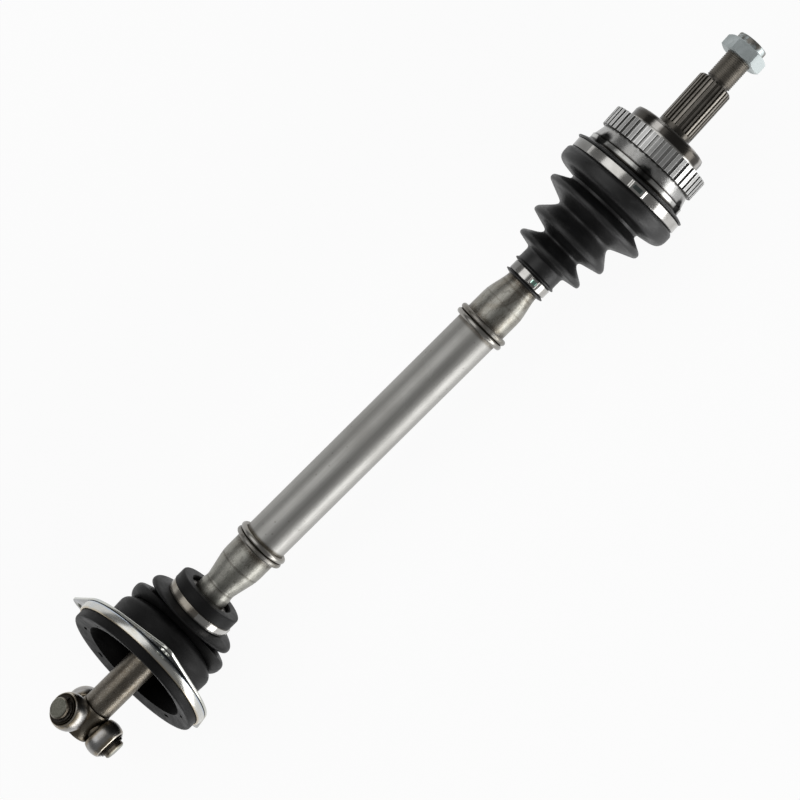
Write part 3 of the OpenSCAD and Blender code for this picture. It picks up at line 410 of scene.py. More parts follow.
def rounded(corners, steps=6):
    """An outline of (x, r) points from corners in mm; a third number rounds a corner off."""
    outline = []
    for order, corner in enumerate(corners):
        if len(corner) < 3 or corner[2] == 0:
            outline.append((corner[0], corner[1]))
            continue
        here = Vector(corner[:2])
        ends = []
        for other in (corners[order - 1], corners[(order + 1) % len(corners)]):
            away = Vector(other[:2]) - here
            ends.append(here + away * min(corner[2] / away.length, 0.48))
        for step in range(steps + 1):
            t = step / steps
            at = ends[0] * (1 - t) ** 2 + here * (2 * t * (1 - t)) + ends[1] * t ** 2
            outline.append((at.x, at.y))
    return outline


roller_steel, tree, shader = finish("roller_steel", Metallic=1.0)
spot = where(tree)
reach, off = trunnion(tree, spot)
cloudy = noise(tree, spot, 130.0, 3.0)
rings = use(tree, turned_rings, Along=reach, Lines_per_metre=4000.0)["Height"]
straw = number(tree, "MULTIPLY", ease(tree, reach, 0.0225, 0.0262), ease(tree, cloudy, 0.2, 0.55))
under = ease(tree, reach, 0.0175, 0.0145)
bore_shade = number(tree, "MULTIPLY", ease(tree, off, 0.0123, 0.0118), ease(tree, reach, 0.0262, 0.0266))
edge_highlight = number(tree, "MULTIPLY", ease(tree, reach, 0.0267, 0.0269), ease(tree, off, 0.0125, 0.0128))
colour = mixed(tree, ease(tree, cloudy, 0.35, 0.7), (0.36, 0.356, 0.352, 1), (0.27, 0.258, 0.238, 1))
colour = tinted(tree, colour, straw, 0.7, (0.24, 0.185, 0.1))
colour = tinted(tree, colour, under, 0.75, (0.2, 0.155, 0.095))
colour = tinted(tree, colour, ease(tree, rings, 0.4, 0.8), 0.16, (0.2, 0.19, 0.17))
# Painted shade: the bore edge on each roller's outer face is painted near black.
colour = tinted(tree, colour, bore_shade, 0.9, (0.03, 0.026, 0.021))
# Painted highlight: a bright band on the chamfer round each roller's outer edge.
colour = tinted(tree, colour, edge_highlight, 0.6, (0.62, 0.6, 0.56))
wire(tree, colour, shader.inputs["Base Color"])
wire(tree, between(tree, cloudy, 0.27, 0.34), shader.inputs["Roughness"])
bumped(tree, shader, rings, 0.00004, 0.25)
dress(roller_steel, "roller_washers")

barrel = [(BARREL_START + BARREL_STEP * step,
           math.sqrt(BARREL_RADIUS ** 2 - (BARREL_STEP * step - BARREL_HALF) ** 2)) for step in range(20)]
first_roller = lathe("roller_barrel_1", barrel + [
    (27.35, 12.5), (27.35, 11.9), (26.8, 11.6), (26.8, 10.41), (13.05, 10.41), (13.05, 12.4)], steps=96)
first_roller.data.materials.append(roller_steel)
for order in (2, 3, 1):
    angle = FIRST_TRUNNION + 360 / TRUNNIONS * (order - 1)
    roller = first_roller
    if order > 1:
        roller = first_roller.copy()
        roller.data = first_roller.data.copy()
        roller.name = roller.data.name = f"roller_barrel_{order}"
        bpy.context.scene.collection.objects.link(roller)
    outwards = Matrix.Rotation(math.radians(90), 4, "Z")
    roller.data.transform(Matrix.Rotation(math.radians(angle), 4, "X") @ outwards)
    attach(roller, f"roller_{order}")
    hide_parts(f"roller_{order}")


def ground_steel(name, light, dark, smooth):
    """Bearing steel under grease: its bright and greased colours and its roughness."""
    made, tree, shader = finish(name, Metallic=1.0)
    spot = where(tree)
    grease = use(tree, oil_stains, Vector=spot, Scale=190.0, Cover=0.45)["Mask"]
    wire(tree, mixed(tree, grease, light, dark), shader.inputs["Base Color"])
    wire(tree, between(tree, grease, smooth, smooth + 0.16), shader.inputs["Roughness"])
    bumped(tree, shader, noise(tree, spot, 1500.0, 2.0), 0.00003, 0.2)
    return made


dress(ground_steel("needle_steel", (0.55, 0.54, 0.52, 1), (0.28, 0.25, 0.2, 1), 0.16),
      "needle_rollers_1", "needle_rollers_2", "needle_rollers_3")


# The boot bearing: a sealed ball bearing between the shaft and the boot's collar, which lets the shaft turn.
# Ground steel rings and balls, a moulded polyamide cage, and two rubber seals.
# The rings and balls are coloured near black, as painted shade in the dark gap inside the boot's collar.
dress(ground_steel("bearing_steel", (0.1, 0.092, 0.078, 1), (0.04, 0.035, 0.028, 1), 0.24),
      "bearing_inner_ring", "bearing_outer_ring", "bearing_balls")


def moulded(name, light, dark, rough, grain=0.00005):
    """A moulded plastic or rubber: two close colours, a roughness and the depth of its grain."""
    made, tree, shader = finish(name)
    spot = where(tree)
    skin = noise(tree, spot, 1300.0, 4.0)
    cloudy = noise(tree, spot, 70.0, 3.0)
    wire(tree, mixed(tree, ease(tree, cloudy, 0.3, 0.7), light, dark), shader.inputs["Base Color"])
    wire(tree, between(tree, skin, rough - 0.06, rough + 0.08), shader.inputs["Roughness"])
    bumped(tree, shader, skin, grain, 0.4)
    return made


dress(moulded("cage_polyamide", (0.42, 0.36, 0.25, 1), (0.36, 0.3, 0.2, 1), 0.45), "bearing_cage")
dress(moulded("seal_rubber", (0.03, 0.03, 0.03, 1), (0.022, 0.022, 0.022, 1), 0.5), "bearing_seals")


# The gearbox plate: pressed sheet steel with a rolled rim that grips the boot's flange, and three bolt ears.
# It is zinc plated and passivated, bright with a faint yellow and blue tinge; it leans as it lies.
LEAN = 29.0
PLATE_PIVOT = Vector((0.07605, 0, 0))
EARS = (5, 125, 245)
EAR_RADIUS, EAR_HALF_ARC, EAR_REACH = 9, 39.68, 69
SHEET_X, SHEET_RADIUS, SHEET_ARC, SHEET_THICKNESS = 64.2, 62.1, 40.64, 2
BOLT_RADIUS, BOOT_HOLE_RADIUS = 4.25, 44.2


def apply(piece, kind, **settings):
    """Adds a modifier to a piece and applies it."""
    change = piece.modifiers.new("change", kind)
    for name, value in settings.items():
        setattr(change, name, value)
    bpy.context.view_layer.objects.active = piece
    bpy.ops.object.modifier_apply(modifier="change")


def cut_away(piece, cutters):
    """Takes the cutters' forms out of a piece and removes the cutters."""
    for cutter in cutters:
        apply(piece, "BOOLEAN", operation="DIFFERENCE", object=cutter)
        bpy.data.objects.remove(cutter)


def joined(pieces, name):
    """Several pieces made one."""
    select_none()
    for piece in pieces:
        piece.select_set(True)
    bpy.context.view_layer.objects.active = pieces[0]
    bpy.ops.object.join()
    pieces[0].name = pieces[0].data.name = name
    return pieces[0]


def bend(piece, pivot, axis, degrees, start=None, end=None):
    """Turns a piece about a pivot, by a share that grows smoothly from start to end along the shaft."""
    for vertex in piece.data.vertices:
        share = 1.0
        if start is not None:
            share = min(max((vertex.co.x - start) / (end - start), 0.0), 1.0)
            share = share * share * (3 - 2 * share)
        turn = Matrix.Rotation(math.radians(degrees * share), 3, axis)
        vertex.co = pivot + turn @ (vertex.co - pivot)
    piece.data.update()


edge = []
for ear in EARS:
    edge += [spoke(ear, EAR_REACH, SHEET_X) + spoke(ear + EAR_HALF_ARC * step / 10, EAR_RADIUS)
             for step in range(-10, 11)]
    edge += [spoke(ear + EAR_HALF_ARC + SHEET_ARC * step / 20, SHEET_RADIUS, SHEET_X) for step in range(21)]
sheet = traced("sheet", edge)
bpy.ops.mesh.edge_face_add()
bpy.ops.mesh.extrude_region_move(TRANSFORM_OT_translate={"value": (SHEET_THICKNESS / 1000, 0, 0)})
bpy.ops.mesh.select_all(action="SELECT")
bpy.ops.mesh.normals_make_consistent(inside=False)
bpy.ops.object.mode_set(mode="OBJECT")
cutters = []
for angle, out, radius in [(0, 0, BOOT_HOLE_RADIUS)] + [(ear, EAR_REACH, BOLT_RADIUS) for ear in EARS]:
    select_none()
    bpy.ops.mesh.primitive_cylinder_add(
        vertices=96, radius=radius / 1000, depth=0.02, rotation=(0, math.pi / 2, 0),
        location=spoke(angle, out, SHEET_X + SHEET_THICKNESS / 2) / 1000)
    cutters.append(bpy.context.object)
cut_away(sheet, cutters)
apply(sheet, "BEVEL", width=0.00045, segments=3, limit_method="ANGLE", angle_limit=math.radians(40))
rim = lathe("rim", rounded([
    (64.5, 59.72), (64.5, 60.7, 0.3), (63.4, 61.9, 0.9), (59.6, 62, 2.2), (57.1, 61, 1.3), (57.1, 59.72, 0.3)]))
plate = joined([sheet, rim], "pressed_plate")
bpy.ops.object.shade_smooth_by_angle(angle=SHARP)
bend(plate, PLATE_PIVOT, "Y", LEAN)

zinc_plate, tree, shader = finish("zinc_plate", Metallic=1.0)
spot = where(tree, centre=PLATE_PIVOT, turn=(0, LEAN, 0))
along = axis_part(tree, spot, "X")
cloudy = noise(tree, spot, 26.0, 3.0, 0.5, 0.4)
fine = noise(tree, where(tree, turn=(0, LEAN, 0), stretch=(0.2, 1, 1)), 240.0, 3.0)
marks = use(tree, scratches, Vector=where(tree, turn=(35, LEAN, 20), stretch=(1, 8, 1)), Scale=340.0,
            Amount=0.26)["Mask"]
zinc = (0.56, 0.56, 0.535)
# The dark band from -12.3 to -11.84 mm is painted shade in the groove where the rim meets the sheet.
colour = along_zones(tree, along, [
    (-19.2, (0.36, 0.27, 0.15)), (-18.5, (0.5, 0.45, 0.36)), (-17.4, zinc), (-14, zinc),
    (-12.9, (0.44, 0.5, 0.58)), (-12.3, (0.3, 0.3, 0.3)), (-11.84, (0.2, 0.2, 0.2)),
    (-11.7, (0.55, 0.56, 0.51)), (-9.6, zinc)])
colour = tinted(tree, colour, ease(tree, cloudy, 0.42, 0.3), 0.55, (0.5, 0.46, 0.36))
colour = tinted(tree, colour, ease(tree, cloudy, 0.56, 0.7), 0.5, (0.44, 0.5, 0.56))
colour = tinted(tree, colour, ease(tree, fine, 0.4, 0.75), 0.15, (0.34, 0.34, 0.32))
colour = tinted(tree, colour, marks, 0.3, (0.3, 0.29, 0.27))
wire(tree, colour, shader.inputs["Base Color"])
wire(tree, between(tree, ease(tree, fine, 0.3, 0.7), 0.2, 0.27), shader.inputs["Roughness"])
bumped(tree, shader, number(tree, "SUBTRACT", fine, marks), 0.00004, 0.15)
plate.data.materials.append(zinc_plate)
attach(plate, "gearbox_plate")
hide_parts("gearbox_plate")


# The gearbox boot: moulded rubber with three round folds, its flange snapped in the plate's rim.
# It leans with the plate, and its collar carries the bearing; the flange's dished face has eight small
# slots. It is made in two pieces that meet in a valley.
SLOTS, FIRST_SLOT = 8, -102
SLOT_RADIUS, SLOT_X = 49.3, 51
INWARD = -0.35


def rubber(name, light, dark, dust, rough, gloss):
    """Moulded rubber: two close colours, the dust in its grain, its roughness and how much it shines."""
    made, tree, shader = finish(name, Specular_IOR_Level=gloss)
    spot = where(tree)
    skin = noise(tree, spot, 1100.0, 4.0, 0.6)
    cloudy = noise(tree, spot, 42.0, 4.0)
    flow = noise(tree, where(tree, stretch=(0.3, 1, 1)), 75.0, 4.0, 0.6, 0.4)
    powder = use(tree, specks, Vector=spot, Scale=520.0, Amount=0.07)["Mask"]
    colour = mixed(tree, ease(tree, cloudy, 0.3, 0.7), light, dark)
    colour = mixed(tree, number(tree, "MULTIPLY", ease(tree, flow, 0.48, 0.75), 0.4), colour, dust)
    colour = mixed(tree, number(tree, "MULTIPLY", powder, ease(tree, cloudy, 0.45, 0.75)), colour, dust)
    wire(tree, colour, shader.inputs["Base Color"])
    uneven = between(tree, ease(tree, flow, 0.3, 0.7), rough - 0.06, rough + 0.07)
    wire(tree, uneven, shader.inputs["Roughness"])
    bumped(tree, shader, number(tree, "ADD", skin, number(tree, "MULTIPLY", flow, 1.5)), 0.00014, 0.5)
    return made


inner_boot_rubber = rubber("inner_boot_rubber", (0.006, 0.006, 0.0062, 1), (0.0042, 0.0042, 0.0043, 1),
                           (0.014, 0.014, 0.0138, 1), 0.48, 0.15)
# Painted shade: faces that turn inward, inside the mouth and folds, take this darker, duller copy of the
# rubber.
inside_shade_rubber = rubber("inner_boot_inside_shade", (0.004, 0.0039, 0.0038, 1), (0.0025, 0.0024, 0.0023, 1),
                     (0.006, 0.0058, 0.0055, 1), 0.6, 0.03)
FOLD_SEAM = 0.0905
collar_half = lathe("inner_boot_folds", rounded([
    (90.5, 36.2), (90.5, 39), (94.6, 44.9, 5), (103.4, 44.9, 5.5), (107.9, 31.6, 0.9), (110.6, 39.3, 3.4),
    (116.4, 39.3, 3.4), (119.2, 26.8, 0.5), (126.3, 26.8, 0.3), (126.3, 28.1, 0.9), (136.1, 28.1, 1.8),
    (136.1, 19.2, 1.2), (134.9, 18, 0.6), (133.3, 18), (133.3, 23.6), (120.7, 23.6), (120.7, 21.6),
    (119.2, 21.6), (116.2, 35.6, 2), (111, 35.6, 2), (107.9, 28.4), (102, 41.4, 3), (95, 41.4, 3)]))
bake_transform(collar_half)
plate_half = lathe("inner_boot_flange", rounded([
    (90.5, 36.2), (90.5, 39), (86.6, 45.1, 4.5), (79.5, 44.9, 5), (66.2, 43.9), (64.05, 43.9),
    (64.05, 59.4, 1), (50.15, 59.4, 2), (50.15, 56.4, 0.8), (52.3, 46.2, 0.8), (52.5, 44.9, 0.8),
    (63, 41.1, 3), (80, 41.9, 3), (85.5, 41.8, 2.5)]))
slots = []
for order in range(SLOTS):
    slot_angle = 360 / SLOTS * order + FIRST_SLOT
    middle = spoke(slot_angle, SLOT_RADIUS, SLOT_X) / 1000
    select_none()
    bpy.ops.mesh.primitive_cube_add(size=0.001, location=middle)
    bpy.ops.transform.resize(value=(3, 5.4, 2.3))
    bpy.ops.object.transform_apply(location=True, rotation=False, scale=True)
    slot = bpy.context.object
    apply(slot, "BEVEL", width=0.0005, segments=2)
    upright = Matrix.Rotation(math.radians(slot_angle), 4, "X")
    slot.data.transform(Matrix.Translation(middle) @ upright @ Matrix.Translation(-middle))
    slots.append(slot)
cut_away(plate_half, [joined(slots, "slots")])
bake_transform(plate_half)
for part in (collar_half, plate_half):
    part.data.materials.append(inner_boot_rubber)
    part.data.materials.append(inside_shade_rubber)
    for face in part.data.polygons:
        outwards = Vector((0, face.center.y, face.center.z)).normalized()
        face.material_index = int(face.normal.dot(outwards) < INWARD)
    bend(part, PLATE_PIVOT, "Y", LEAN, 0.1192, FOLD_SEAM)
    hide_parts("inner_boot")


# The boot clamps: stainless bands with a lapped strap, drawn tight by a low crimped ear.
# They are polished strip, so they mirror what is round them; the crimps on the wheel boot carry a green tint.
STRIP = 0.7
STRAP_INSET, EAR_INSET, STRIP_ROUND = 0.3, 0.5, 0.25
EAR_RISE, EAR_LEG, EAR_EDGE_DROP = 1.15, 0.16, 0.35
DISH_DEPTH, DISH_SHOWN = 0.75, 0.12


def clamp_finish(name, light, dark, rough):
    """Polished stainless strip: its two colours and its roughness."""
    made, tree, shader = finish(name, Metallic=1.0)
    cloudy = noise(tree, where(tree), 90.0, 3.0)
    brushed = noise(tree, where(tree, stretch=(0.04, 1, 1)), 260.0, 3.0)
    strokes = where(tree, turn=(15, 25, 40), stretch=(6, 1, 1))
    marks = use(tree, scratches, Vector=strokes, Scale=420.0, Amount=0.26)["Mask"]
    colour = mixed(tree, ease(tree, cloudy, 0.3, 0.7), light, dark)
    colour = tinted(tree, colour, marks, 0.35, (0.25, 0.24, 0.225))
    wire(tree, colour, shader.inputs["Base Color"])
    wire(tree, between(tree, brushed, rough, rough + 0.1), shader.inputs["Roughness"])
    bumped(tree, shader, brushed, 0.00004, 0.2)
    return made


def band_clamp(name, x0, width, seat, lap, ear, finishes):
    """A band on its seat: its left edge, width and seat radius in mm, the angles between which its strap
    laps and its ear stands, and the finishes of its hoop, strap and crimp."""
    x1 = x0 + width
    over = seat + STRIP
    hoop = lathe(name, rounded([
        (x0, seat), (x0, over, STRIP_ROUND), (x1, over, STRIP_ROUND), (x1, seat)], 3))
    top = over + STRIP
    left, right = x0 + STRAP_INSET, x1 - STRAP_INSET
    strap = lathe(name + "_strap", rounded([
        (left, over - 0.1), (left, top, STRIP_ROUND), (right, top, STRIP_ROUND), (right, over - 0.1)], 3),
        lap[0], lap[1] - lap[0], max(8, round((lap[1] - lap[0]) / 2)))
    left, right = x0 + EAR_INSET, x1 - EAR_INSET
    across = [(left, top - 0.15)] + [
        (left + (width - 2 * EAR_INSET) * step / 12, top + 0.05) for step in range(13)] + [(right, top - 0.15)]
    crimp = lathe(name + "_ear", across, ear[0], ear[1] - ear[0], 36)
    middle = (x0 + width / 2) / 1000
    pressed = set()
    for vertex in crimp.data.vertices:
        flat = Vector((0, vertex.co.y, vertex.co.z))
        if flat.length < top / 1000:
            continue
        angle = math.degrees(math.atan2(-vertex.co.y, vertex.co.z))
        along = (angle - ear[0]) / (ear[1] - ear[0])
        leg = max(0.0, min(1.0, min(along, 1 - along) / EAR_LEG))
        rise = EAR_RISE * leg * leg * (3 - 2 * leg)
        side = abs(vertex.co.x - middle) * 1000 / (width / 2 - EAR_INSET)
        dish = max(0.0, 1 - (side / 0.66) ** 4) * max(0.0, 1 - (abs(along - 0.5) / 0.29) ** 4)
        rise -= DISH_DEPTH * dish + EAR_EDGE_DROP * max(0.0, side - 0.86) / 0.14
        vertex.co += flat.normalized() * rise / 1000
        if dish > DISH_SHOWN:
            pressed.add(vertex.index)
    hoop.data.materials.append(finishes[0])
    for piece in (strap, crimp):
        piece.data.materials.append(finishes[1])
    crimp.data.materials.append(finishes[2])
    for face in crimp.data.polygons:
        face.material_index = int(pressed.issuperset(face.vertices))
    return joined([hoop, strap, crimp], name)


def fit_clamp(piece, body, node):
    """A clamp riding on its body in place of its CAD node."""
    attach(piece, body)
    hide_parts(node)


dull_strip = clamp_finish("gearbox_clamp_steel", (0.3, 0.282, 0.25, 1), (0.2, 0.178, 0.148, 1), 0.18)
# The wheel clamps' hoop strip is a darker copy of the strap's strip: painted shade.
shaded_hoop_strip = clamp_finish("wheel_clamp_hoop_shade", (0.22, 0.218, 0.21, 1), (0.17, 0.167, 0.16, 1), 0.2)
bright_strip = clamp_finish("wheel_clamp_strap", (0.52, 0.51, 0.49, 1), (0.4, 0.39, 0.37, 1), 0.12)
green_crimp = clamp_finish("green_crimp", (0.32, 0.5, 0.42, 1), (0.25, 0.4, 0.335, 1), 0.25)
smoked_crimp = clamp_finish("smoked_crimp", (0.12, 0.14, 0.136, 1), (0.085, 0.1, 0.097, 1), 0.25)
inner_band = band_clamp("inner_boot_band", 119.4, 6.7, 26.8, (7, 190), (92, 128),
                        (dull_strip, bright_strip, dull_strip))
fit_clamp(inner_band, "boot_collar", "inner_boot_clamp")


# The ball joint's inside: a race splined to the stub and held by a ring, a cage and six balls.
# All are case-hardened and ground, and run packed in grease.
dress(ground_steel("race_steel", (0.5, 0.49, 0.47, 1), (0.2, 0.17, 0.13, 1), 0.18), "inner_race", "ball_cage")
dress(ground_steel("joint_ball_steel", (0.62, 0.62, 0.61, 1), (0.4, 0.38, 0.34, 1), 0.1), "joint_balls")


# The bell: one forging, turned all over, with the wheel's spline and thread on its stub.
# A bright land and a dark polished cone round the cup, an oil-black shoulder, a brown stub; six hollows and
# bands beside the land and under the toothed ring are painted near black as shade.
BEND = 3.1
JOINT = Vector((0.575, 0, 0))
bell_steel, tree, shader = finish("bell_steel", Metallic=1.0)
spot = where(tree, centre=JOINT, turn=(0, 0, BEND))
along = axis_part(tree, spot, "X")
rings = use(tree, turned_rings, Along=along, Lines_per_metre=2200.0)["Height"]
oil = use(tree, oil_stains, Vector=where(tree, stretch=(1, 1.3, 1)), Scale=70.0, Cover=0.45)["Mask"]
grime = use(tree, oil_stains, Vector=spot, Scale=330.0, Cover=0.4)["Mask"]
bell_shade = (0.012, 0.011, 0.01)
land = (0.5, 0.5, 0.485)
cone = (0.38, 0.379, 0.371)
bright = (0.5, 0.49, 0.465)
shoulder = (0.05, 0.047, 0.043)
shoulder_edge = (0.2, 0.194, 0.182)
spline = (0.24, 0.224, 0.2)
thread = (0.15, 0.137, 0.117)
colour = along_zones(tree, along, [
    # bell_shade: painted shade in the steps beside the land and on the cup under the toothed ring.
    (-30, shoulder), (-4.4, shoulder), (-3.6, bell_shade), (-1.5, bell_shade), (-1, land), (1.3, land), (1.7, bell_shade),
    (2.5, bell_shade), (3.3, cone), (10.9, cone), (11.6, bell_shade), (27.3, bell_shade), (27.6, bright), (29.4, bright),
    (30.2, shoulder), (36.6, shoulder), (37.4, shoulder_edge), (38.3, shoulder_edge), (38.6, shoulder),
    (43.6, (0.09, 0.083, 0.072)), (44.6, spline), (84.8, spline), (86, shoulder), (90, thread), (124, thread)])
polar = use(tree, around, Vector=spot, Count=6.0, First=36.0)
arc = number(tree, "MULTIPLY", polar["Radius"], polar["Turn"])
smear = number(tree, "MULTIPLY", number(tree, "SUBTRACT", noise(tree, spot, 140.0, 4.0, 0.6), 0.5), 0.006)
lengthwise = number(tree, "SUBTRACT", along, 0.0012)
hollow_shade = ease(tree, number(tree, "ADD", both(tree, arc, lengthwise), smear), 0.0086, 0.0044)
fourths = use(tree, around, Vector=spot, Count=4.0, First=68.0)["Turn"]
streak = number(tree, "ADD", number(tree, "ABSOLUTE", fourths), number(tree, "MULTIPLY", smear, 30.0))
on_shoulder = number(tree, "MULTIPLY", ease(tree, along, 0.0298, 0.0304), ease(tree, along, 0.0394, 0.0386))
shoulder_highlight = number(tree, "MULTIPLY", on_shoulder, ease(tree, polar["Radius"], 0.0275, 0.029))
shoulder_highlight = number(tree, "MULTIPLY", shoulder_highlight, ease(tree, streak, 0.17, 0.05))
on_spline = number(tree, "MULTIPLY", ease(tree, along, 0.0436, 0.0446), ease(tree, along, 0.0866, 0.0856))
spline_root_shade = number(tree, "MULTIPLY", on_spline, ease(tree, polar["Radius"], 0.01395, 0.0133))
colour = tinted(tree, colour, ease(tree, rings, 0.35, 0.75), 0.2, (0.06, 0.056, 0.05))
colour = tinted(tree, colour, oil, 0.25, (0.08, 0.07, 0.056))
colour = tinted(tree, colour, grime, 0.3, (0.035, 0.031, 0.026))
# Painted highlight: bright patches on the shoulder's outer edge, at four turns round it.
colour = tinted(tree, colour, shoulder_highlight, 0.9, (0.42, 0.405, 0.385))
# Painted shade: the spline's roots are painted darker.
colour = tinted(tree, colour, spline_root_shade, 0.7, (0.085, 0.078, 0.068))
# Painted shade: the six hollows are painted near black.
colour = tinted(tree, colour, hollow_shade, 0.96, (0.006, 0.006, 0.0055))
wire(tree, colour, shader.inputs["Base Color"])
stub = ease(tree, along, 0.04, 0.046)
dull = between(tree, stub, between(tree, oil, 0.27, 0.2),
               between(tree, ease(tree, along, 0.085, 0.09), 0.36, 0.5))
wire(tree, between(tree, hollow_shade, dull, 0.6), shader.inputs["Roughness"])
radial = add(tree, "CombineXYZ", Y=axis_part(tree, spot, "Y"), Z=axis_part(tree, spot, "Z")).outputs["Vector"]
radial = add(tree, "VectorRotate", {"rotation_type": "Z_AXIS"}, Vector=radial,
             Angle=math.radians(BEND)).outputs["Vector"]
to_world = {"vector_type": "NORMAL", "convert_from": "OBJECT", "convert_to": "WORLD"}
radial = add(tree, "VectorTransform", to_world, Vector=radial).outputs["Vector"]
oil_fill = number(tree, "MULTIPLY", ease(tree, along, 0.0872, 0.0884), 0.75)
filling = add(tree, "Mix", {"data_type": "VECTOR"})
for value, index in ((oil_fill, 0), (add(tree, "NewGeometry").outputs["Normal"], 4), (radial, 5)):
    wire(tree, value, filling.inputs[index])
filled = add(tree, "VectorMath", {"operation": "NORMALIZE"}, Vector=filling.outputs[1]).outputs["Vector"]
bumped(tree, shader, rings, 0.00006, 0.3, filled)
dress(bell_steel, "outer_joint_bell")


# The toothed ring: pressed-on steel ring that the wheel-speed sensor reads, its slots milled across.
# Light grey satin steel; the teeth's crowns carry a painted highlight, and the slots' walls and floors painted
# shade.
tooth_steel, tree, shader = finish("tooth_ring_steel", Metallic=1.0)
spot = where(tree, centre=JOINT, turn=(0, 0, BEND))
cloudy = noise(tree, spot, 120.0, 3.0)
rings = use(tree, turned_rings, Along=axis_part(tree, spot, "X"), Lines_per_metre=3000.0)["Height"]
polar = use(tree, around, Vector=spot, Count=44.0, First=0.0)
radius = polar["Radius"]
aside = number(tree, "ABSOLUTE", number(tree, "MULTIPLY", polar["Turn"], radius))
slot_floor_shade = ease(tree, radius, 0.0409, 0.0403)
slot_wall_shade = number(tree, "MULTIPLY", ease(tree, radius, 0.0417, 0.0412), ease(tree, radius, 0.0402, 0.0405))
crown_highlight = number(tree, "MULTIPLY", ease(tree, radius, 0.0415, 0.0418), ease(tree, aside, 0.0019, 0.0015))
colour = mixed(tree, ease(tree, cloudy, 0.3, 0.7), (0.47, 0.47, 0.462, 1), (0.38, 0.38, 0.372, 1))
colour = tinted(tree, colour, ease(tree, rings, 0.4, 0.75), 0.18, (0.24, 0.237, 0.227))
# Painted highlight on the teeth's crowns; painted shade on the slots' floors and walls.
colour = tinted(tree, colour, crown_highlight, 0.85, (0.86, 0.86, 0.85))
colour = tinted(tree, colour, slot_floor_shade, 0.3, (0.2, 0.195, 0.185))
colour = tinted(tree, colour, slot_wall_shade, 0.65, (0.05, 0.047, 0.043))
wire(tree, colour, shader.inputs["Base Color"])
wire(tree, between(tree, cloudy, 0.36, 0.46), shader.inputs["Roughness"])
bumped(tree, shader, rings, 0.00006, 0.3)
dress(tooth_steel, "tooth_ring")


# The wheel boot: moulded black rubber with three sharp folds between a neck on the shaft and a shoulder
# on the bell. It is made in two pieces that meet in the last valley: the folds are turned half as far as the
# joint, and the shoulder as far as the bell. The shoulder is left bare of lettering.
outer_boot_rubber = rubber("outer_boot_rubber", (0.0085, 0.0085, 0.0088, 1), (0.006, 0.006, 0.0062, 1),
                           (0.026, 0.026, 0.026, 1), 0.43, 0.43)
VALLEY_SEAM = 0.5424
fold_half = lathe("wheel_boot_folds", rounded([
    (461.5, 13.9, 0.3), (461.7, 15.2, 0.3), (462.6, 17.7, 0.3), (463.4, 17.7, 0.3), (464.3, 15.9, 0.3),
    (464.4, 15.6), (472, 15.6), (472.2, 16.8, 0.3), (472.8, 18.5, 0.3), (473.6, 18.5, 0.3), (474.9, 17.1, 0.6),
    (477, 17), (484.6, 17, 2.2), (487.2, 29.7, 2), (490.8, 29.7, 2.6), (498.4, 17.2, 4.5), (501.6, 17.2, 3.2),
    (506.3, 34.2, 2), (510, 34.2, 2.6), (520.5, 24.6, 5), (523.7, 24.6, 3.4), (531.4, 43, 2.2),
    (535.1, 43, 2.4), (541.2, 31.5, 2.6), (542.4, 31.5), (542.4, 28.5), (541.2, 28.5, 2), (534.5, 40, 2),
    (532, 40, 2), (523.7, 21.6, 2), (520.5, 21.6, 2), (509.6, 31.2, 2), (506.8, 31.2, 2), (501.6, 14.2, 2),
    (498.4, 14.2, 2), (490.4, 26.7, 2), (487.6, 26.7, 2), (486.4, 13.9)]))
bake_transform(fold_half)
bend(fold_half, JOINT, "Z", BEND / 2, 0.506, VALLEY_SEAM)
shoulder_half = lathe("wheel_boot_shoulder", rounded([
    (542.4, 28.5), (542.4, 31.5), (544.2, 31.5, 1.6), (546.7, 46.3, 5), (550.7, 49.6, 5), (558.5, 49.6, 1.6),
    (560.5, 47, 0.4), (568.2, 47), (568.4, 47.8, 0.2), (569, 49.2, 0.3), (569.7, 49.2, 0.3), (571.1, 46, 0.5),
    (571.1, 44.98), (561, 44.98), (560, 46.6, 1), (550.7, 46.6, 3), (548, 43.3, 3), (544.7, 28.5, 2)]))
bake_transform(shoulder_half)
bend(shoulder_half, JOINT, "Z", BEND, 0.5243, 0.5605)
for part in (fold_half, shoulder_half):
    part.data.materials.append(outer_boot_rubber)
    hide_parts("outer_boot")


# The wheel boot's two clamps: the same kind of band, a small one on the neck and a large one on the shoulder.
# Their hoops are painted greyer than their straps, as painted shade on the band beside the bright strap; the
# large one is turned with the bell.
small_band = band_clamp("wheel_boot_small_band", 464.6, 7.2, 15.6, (-42, 150), (1, 27),
                        (shaded_hoop_strip, bright_strip, green_crimp))
fit_clamp(small_band, "shaft", "outer_boot_small_clamp")
large_band = band_clamp("wheel_boot_large_band", 560.7, 7.3, 47, (-48, 92), (1, 18.4),
                        (shaded_hoop_strip, bright_strip, smoked_crimp))
bend(large_band, JOINT, "Z", BEND)
fit_clamp(large_band, "bell", "outer_boot_large_clamp")


# The hub nut: a hexagon nut with a plain crown that grips a nylon ring, on the stub's thread.
# Bright zinc plate with a cold blue tinge, painted lighter on its side towards the low panel as painted light;
# the crown's brown oil stain also stands in for its dark reflection.
nut_zinc, tree, shader = finish("nut_zinc", Metallic=1.0)
spot = where(tree, centre=JOINT, turn=(0, 0, BEND))
cloudy = noise(tree, spot, 110.0, 4.0, 0.6, 0.5)
crown = ease(tree, axis_part(tree, spot, "X"), 0.1192, 0.1204)
stain_and_dark_reflection = number(tree, "MULTIPLY", crown, ease(tree, noise(tree, spot, 190.0, 3.0), 0.42, 0.6))
colour = mixed(tree, ease(tree, cloudy, 0.35, 0.65), (0.42, 0.46, 0.465, 1), (0.35, 0.386, 0.386, 1))
lit_side = use(tree, around, Vector=spot, Count=1.0, First=150.0)["Turn"]
